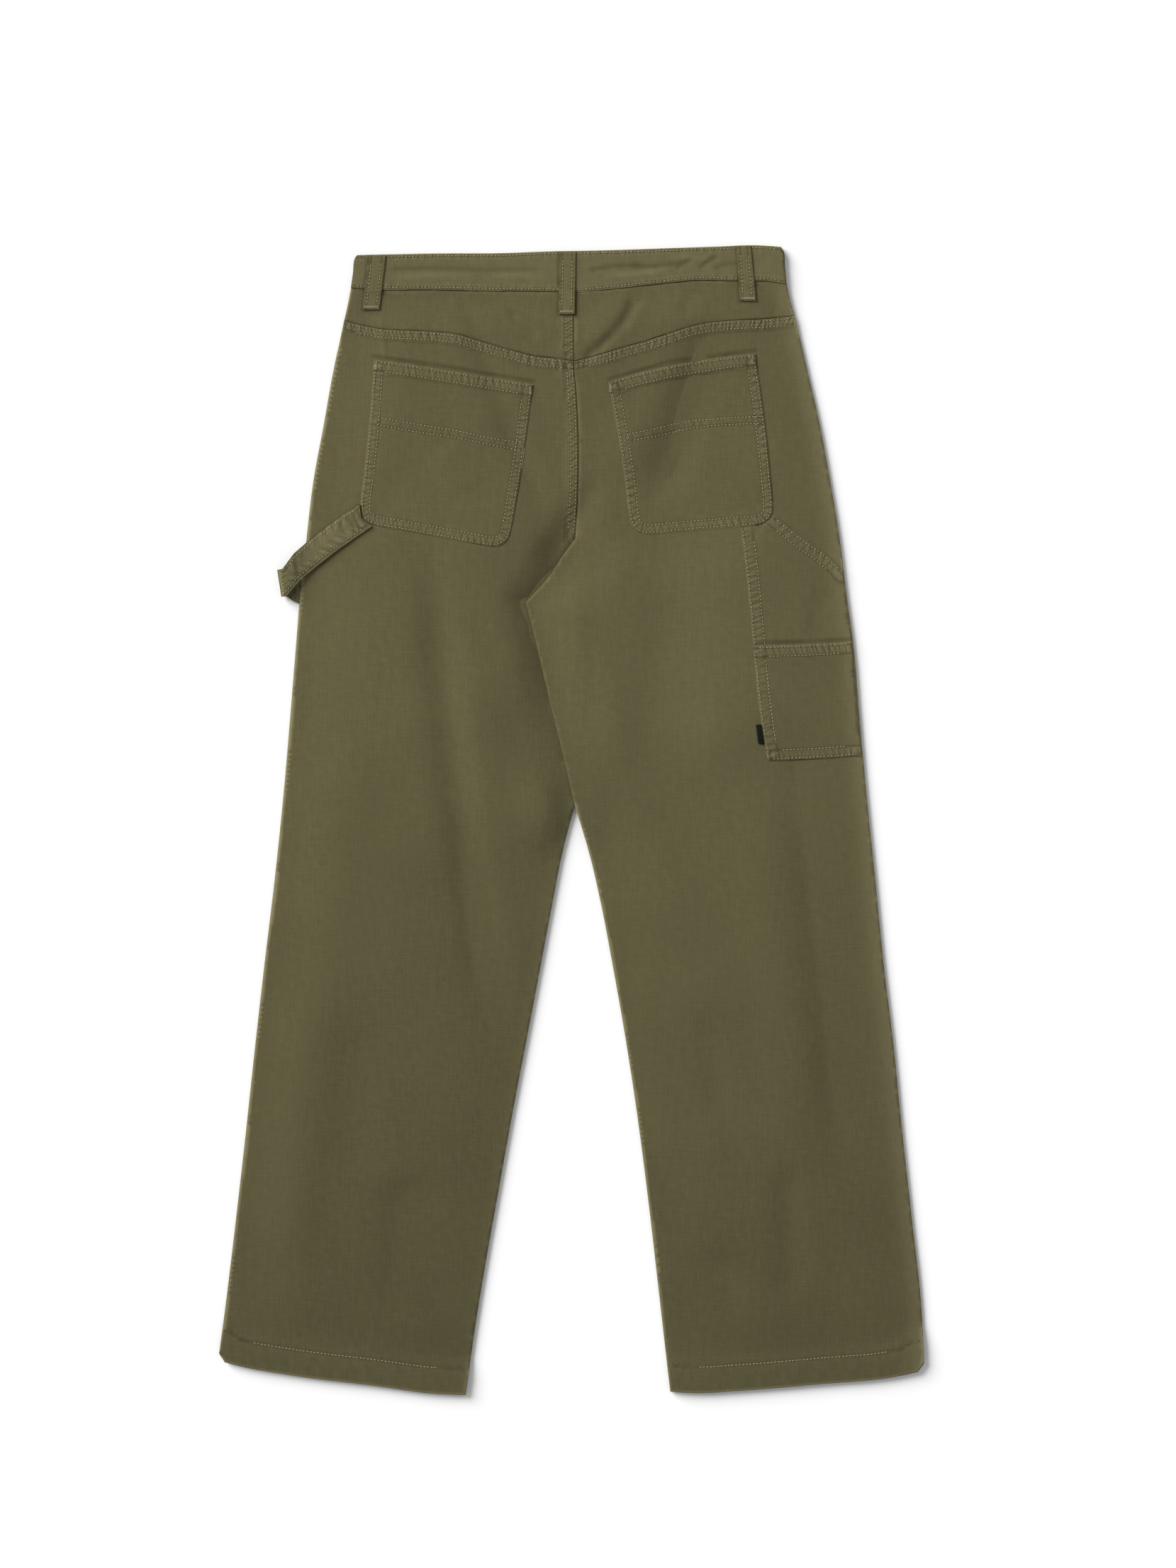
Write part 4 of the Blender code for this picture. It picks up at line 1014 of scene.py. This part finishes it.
WAISTBAND_BACK = Piece(
    "waistband_back",
    None,
    ["waistband_front"],
    [
        Seam(Place(-204, 491), Place(198, 494), (2.2,), 6.0, 4.6, 0.1, 0.2, 0.0),
        Seam(Place(196, 529), Place(-199, 521), (2.4,), 6.0, 4.6, 0.1, -0.2, 0.0),
    ],
    roll=0.4,
    pale=0.25,
)


def back_pocket(node, left, held_by, top_left, top_right, crossings):
    """A back pocket: its sides and foot in one seam, and its wider hem at the top."""
    seams = [
        Seam(top_left, top_right, (1.9, 8.6), 9.5, 3.9, 0.18, 0.15, 0.0),
        Seam(top_right, top_left, (2.0, 10.0), 10.5, 4.0, 0.18, 0.3, 0.1),
    ]
    return Piece(node, left, [held_by], seams, crossings, roll=0.25, sunk=1.15)


BACK_POCKETS = (
    back_pocket("back_pocket_left", True, "back_left", Place(-182.7, 425), Place(-36, 401.5), CROSS_LEFT),
    back_pocket("back_pocket_right", False, "back_right", Place(33.4, 404), Place(169, 430.3), CROSS_RIGHT),
)
TOOL_POCKET = Piece(
    "tool_pocket",
    False,
    ["back_right"],
    [
        Seam(Place(155.4, 270.6), Place(181.4, 54.6), (1.7, 10.6), 11.5, 3.9, 0.17, 0.15, 0.0),
        Seam(Place(251.6, 229), Place(186.2, 281.4), (2.0, 9.6), 10.5, 4.2, 0.17, 0.2, 0.1),
    ],
    shades=[[(165, 163.5), (214, 165), (259, 167.5)]],
    roll=0.25,
    sunk=1.15,
)
TOOL_POCKET_LOWER = Piece(
    "tool_pocket_lower",
    False,
    ["tool_pocket"],
    [
        Seam(Place(166.6, 160.6), Place(181.4, 54.6), (1.7, 10.6), 11.5, 3.9, 0.16, 0.15, 0.0),
        Seam(Place(181.4, 54.6), Place(267, 59.4), (1.9, 9.6), 10.5, 3.9, 0.16, 0.2, 0.0),
        Seam(Place(259, 164.6), Place(166.6, 160.6), (2.0, 10.2), 10.8, 4.0, 0.16, 0.2, 0.15),
    ],
    roll=0.3,
    sunk=2.35,
)
HAMMER_LOOP = Piece(
    "hammer_loop",
    True,
    ["back_left"],
    [
        Seam(Place(-266, 231), Place(-185, 272), (3.0,), 11.0, 5.6, 0.13, 0.6, 0.0),
        Seam(Place(-196, 291), Place(-266, 231), (3.0,), 11.0, 5.6, 0.13, -0.6, 0.0),
    ],
    roll=0.9,
    sunk=0.35,
    pale=0.2,
)
# Belt loops have a row along each side and a bar tack at the foot.
LOOPS = ("belt_loop_left", "belt_loop_centre", "belt_loop_right")


def loop_corners(node):
    """A belt loop's corners: top left, foot left, foot right and top right."""
    shell = Shell(node)
    points = shell.outline.points
    shell.bm.free()
    ways = ((1, -2), (1, 2), (-1, 2), (-1, -2))
    return [Place(*points[np.argmin(across * points[:, 0] + up * points[:, 1])]) for across, up in ways]


def loop_shades():
    """The left sides of the belt loops, along which the cloth beside them takes painted shade."""
    return [loop_corners(node)[:2] for node in LOOPS]


class TROUSERS_OT_stage(bpy.types.Operator):
    """Lays out the floor, the lights and the camera straight above"""

    bl_idname = "trousers.stage"
    bl_label = "Studio"

    def execute(self, context):
        s = settings()
        scene = context.scene
        bm = bmesh.new()
        bmesh.ops.create_grid(bm, x_segments=1, y_segments=1, size=6.0)
        paper, _, _ = new_material("matt_paper", Roughness=0.9, Base_Color=tint(s.floor))
        floor = finish_mesh("floor", bm, paper)
        floor.location.z = -0.3 * MM

        sun = bpy.data.lights.new("key", "SUN")
        sun.energy = s.sun
        sun.angle = math.radians(42)
        key = bpy.data.objects.new("key", sun)
        key.location = (-2.2, 1.65, 1.35)
        key.rotation_euler = (-key.location).to_track_quat("-Z", "Y").to_euler()
        scene.collection.objects.link(key)
        world = bpy.data.worlds.new("white_room")
        world.use_nodes = True
        world.node_tree.nodes["Background"].inputs["Color"].default_value = (1, 1, 1, 1)
        world.node_tree.nodes["Background"].inputs["Strength"].default_value = s.sky
        scene.world = world
        scene.view_settings.view_transform = "Standard"
        scene.view_settings.look = "None"

        camera = bpy.data.objects.new("camera", bpy.data.cameras.new("camera"))
        camera.data.lens = 85.0
        camera.data.sensor_fit = "VERTICAL"
        camera.data.sensor_height = 36.0
        view_height = 2212 * 0.655 * MM
        camera.location = (14.74 * MM, 33.4 * MM, view_height * camera.data.lens / camera.data.sensor_height)
        scene.collection.objects.link(camera)
        scene.camera = camera
        return {"FINISHED"}


class TROUSERS_OT_panels(bpy.types.Operator):
    """Models the leg panels and yokes of the back, and the front panels and fly shield below"""

    bl_idname = "trousers.panels"
    bl_label = "Panels and yokes"

    def execute(self, context):
        shades = loop_shades()
        for piece in (BACK_LEFT, BACK_RIGHT, YOKE_LEFT, YOKE_RIGHT):
            make_piece(piece._replace(shades=[*piece.shades, *shades]), garment_drape())
        for node, below in (("front_left", "floor"), ("front_right", "floor"), ("fly", "front_left")):
            make_plain(node)
        return {"FINISHED"}


def make_plain(node):
    """Models a hidden piece from its solid, with a finer rim and no stitching."""
    shell = Shell(node)
    shell.refine(14.0, 4.0, [(shell.outline, 1.0)])
    shell.relax(6)
    shell.ease_rim()
    for vert in shell.bm.verts:
        vert[shell.wear_and_shade] = 0.0
    made = keep(finish_mesh(node + "_cloth", shell.bm, canvas_material(), CLOTH_SHARP), "canvas", node)


class TROUSERS_OT_waistband(bpy.types.Operator):
    """Models both runs of the waistband and the button in the front one"""

    bl_idname = "trousers.waistband"
    bl_label = "Waistband"

    def execute(self, context):
        make_piece(WAISTBAND_BACK._replace(shades=loop_shades()), folds=BAND_FOLDS)
        make_plain("waistband_front")
        make_button()
        return {"FINISHED"}


def make_button():
    """Spins the button's profile: a rolled rim round a dished face, which looks down."""
    low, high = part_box("waist_button")
    centre = 0.5 * (low + high)
    radius = 0.5 * (high.x - low.x)
    top = high.z
    profile = [
        (0.0, 0.5 * MM),
        (0.45 * radius, 0.42 * MM),
        (0.72 * radius, 0.3 * MM),
        (0.8 * radius, 0.02 * MM),
        (0.93 * radius, 0.0),
        (radius, 0.45 * MM),
        (radius, top - 0.3 * MM),
        (0.94 * radius, top),
        (0.0, top),
    ]
    bm = bmesh.new()
    verts = [bm.verts.new((centre.x + x, centre.y, z)) for x, z in profile]
    edges = [bm.edges.new(pair) for pair in zip(verts, verts[1:])]
    turn = {"cent": (centre.x, centre.y, 0), "axis": (0, 0, 1), "angle": 2 * math.pi, "steps": 48}
    bmesh.ops.spin(bm, geom=verts + edges, use_merge=True, **turn)
    bmesh.ops.remove_doubles(bm, verts=bm.verts, dist=WELD)
    bmesh.ops.recalc_face_normals(bm, faces=bm.faces)
    keep(finish_mesh("waist_button_brass", bm, brass_material(), BRASS_SHARP), "button", "waist_button")


class TROUSERS_OT_back_pockets(bpy.types.Operator):
    """Models the two patch pockets with their hems, cross stitching and bar tacks"""

    bl_idname = "trousers.back_pockets"
    bl_label = "Back pockets"

    def execute(self, context):
        for piece in BACK_POCKETS:
            tacks = []
            for (x, y), inwards in ((piece.seams[0].start, 1), (piece.seams[0].end, -1)):
                tacks.append(((x + 2.0 * inwards, y - 9.5), (x + 2.4 * inwards, y - 1.5)))
            make_piece(piece, garment_drape(), tacks=tacks)
        return {"FINISHED"}


class TROUSERS_OT_tool_pocket(bpy.types.Operator):
    """Models the tool pocket, its lower patch and the blank tab in the patch's edge"""

    bl_idname = "trousers.tool_pocket"
    bl_label = "Tool pocket"

    def execute(self, context):
        make_piece(TOOL_POCKET, garment_drape())
        make_piece(TOOL_POCKET_LOWER, garment_drape())
        bm = bmesh.new()
        bm.from_mesh(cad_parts["tab_label"].data)
        bmesh.ops.remove_doubles(bm, verts=bm.verts, dist=WELD)
        bmesh.ops.dissolve_limit(bm, angle_limit=math.radians(5), verts=bm.verts, edges=bm.edges)
        rounding = {"offset": 0.35 * MM, "affect": "EDGES", "segments": 3, "profile": 0.5}
        bmesh.ops.bevel(bm, geom=bm.edges, material=-1, **rounding)
        bmesh.ops.recalc_face_normals(bm, faces=bm.faces)
        spots = np.array([v.co[:2] for v in bm.verts]) / MM
        for vert, rise in zip(bm.verts, garment_drape().height(spots, False)):
            vert.co.z += rise * MM
        keep(finish_mesh("tab_tape", bm, tab_material()), "tab", "tab_label")
        return {"FINISHED"}


class TROUSERS_OT_hammer_loop(bpy.types.Operator):
    """Models the hammer loop's strap, which folds over outside the side seam"""

    bl_idname = "trousers.hammer_loop"
    bl_label = "Hammer loop"

    def execute(self, context):
        make_piece(HAMMER_LOOP, garment_drape(), LOOP_FOLDS, prepare=round_strap)
        return {"FINISHED"}


def round_strap(bm):
    """Splits a strap's solid, lays its upper run closer to the leg and draws its end up to the seam."""
    limits = {"angle_face_threshold": math.radians(40), "angle_shape_threshold": math.radians(60)}
    bmesh.ops.join_triangles(bm, faces=bm.faces, **limits)
    bmesh.ops.subdivide_edges(bm, edges=bm.edges, cuts=2, use_grid_fill=True)
    bmesh.ops.triangulate(bm, faces=bm.faces, quad_method="SHORT_EDGE", ngon_method="BEAUTY")
    for vert in bm.verts:
        x = vert.co.x / MM
        if vert.co.z > STRAP_PARTS * MM:
            vert.co.z -= STRAP_LOWER * MM * math.exp(-(((x + 243) / 16) ** 2))
        else:
            vert.co.x += STRAP_REACH * MM * float(smooth((x + 256) / 4))
            vert.co.y -= STRAP_TURN * MM * float(smooth((x + 266) / 12))


class TROUSERS_OT_belt_loops(bpy.types.Operator):
    """Models the three belt loops, each with two rows of stitches and a bar tack"""

    bl_idname = "trousers.belt_loops"
    bl_label = "Belt loops"

    def execute(self, context):
        for node in LOOPS:
            top_left, foot_left, foot_right, top_right = loop_corners(node)
            # Each loop's edges take painted shade: strongly on the left, a little on the right.
            seams = [
                Seam(top_left, foot_left, (3.4,), 5.5, 3.6, 0.08, 0.2, 0.0, -1.3),
                Seam(foot_right, top_right, (3.4,), 5.5, 3.6, 0.08, -0.2, 0.0, -0.3),
            ]
            tack = ((foot_left.x + 1.5, foot_left.y + 2.4), (foot_right.x - 1.5, foot_right.y + 2.4))
            on_left = foot_left.x < -50
            piece = Piece(node, on_left, ["waistband_back"], seams, roll=0.25, sunk=1.0, pale=0.2)
            make_piece(piece, garment_drape(), tacks=[tack])
        return {"FINISHED"}


STEPS = (
    TROUSERS_OT_stage,
    TROUSERS_OT_panels,
    TROUSERS_OT_waistband,
    TROUSERS_OT_back_pockets,
    TROUSERS_OT_tool_pocket,
    TROUSERS_OT_hammer_loop,
    TROUSERS_OT_belt_loops,
)


class TROUSERS_PT_sidebar(bpy.types.Panel):
    """Lists the settings and the steps that make the garment"""

    bl_idname = "TROUSERS_PT_sidebar"
    bl_label = "Trousers"
    bl_space_type = "VIEW_3D"
    bl_region_type = "UI"
    bl_category = "Trousers"

    def draw(self, context):
        for name in TrousersSettings.__annotations__:
            self.layout.prop(settings(), name)
        for step in STEPS:
            self.layout.operator(step.bl_idname)


CLASSES = (TrousersSettings, *STEPS, TROUSERS_PT_sidebar)


def register():
    for cls in CLASSES:
        bpy.utils.register_class(cls)
    bpy.types.Scene.trousers = bpy.props.PointerProperty(type=TrousersSettings)


def unregister():
    del bpy.types.Scene.trousers
    for cls in reversed(CLASSES):
        bpy.utils.unregister_class(cls)


def main():
    register()
    for step in STEPS:
        getattr(bpy.ops.trousers, step.bl_idname.partition(".")[2])()


if __name__ == "__main__":
    main()
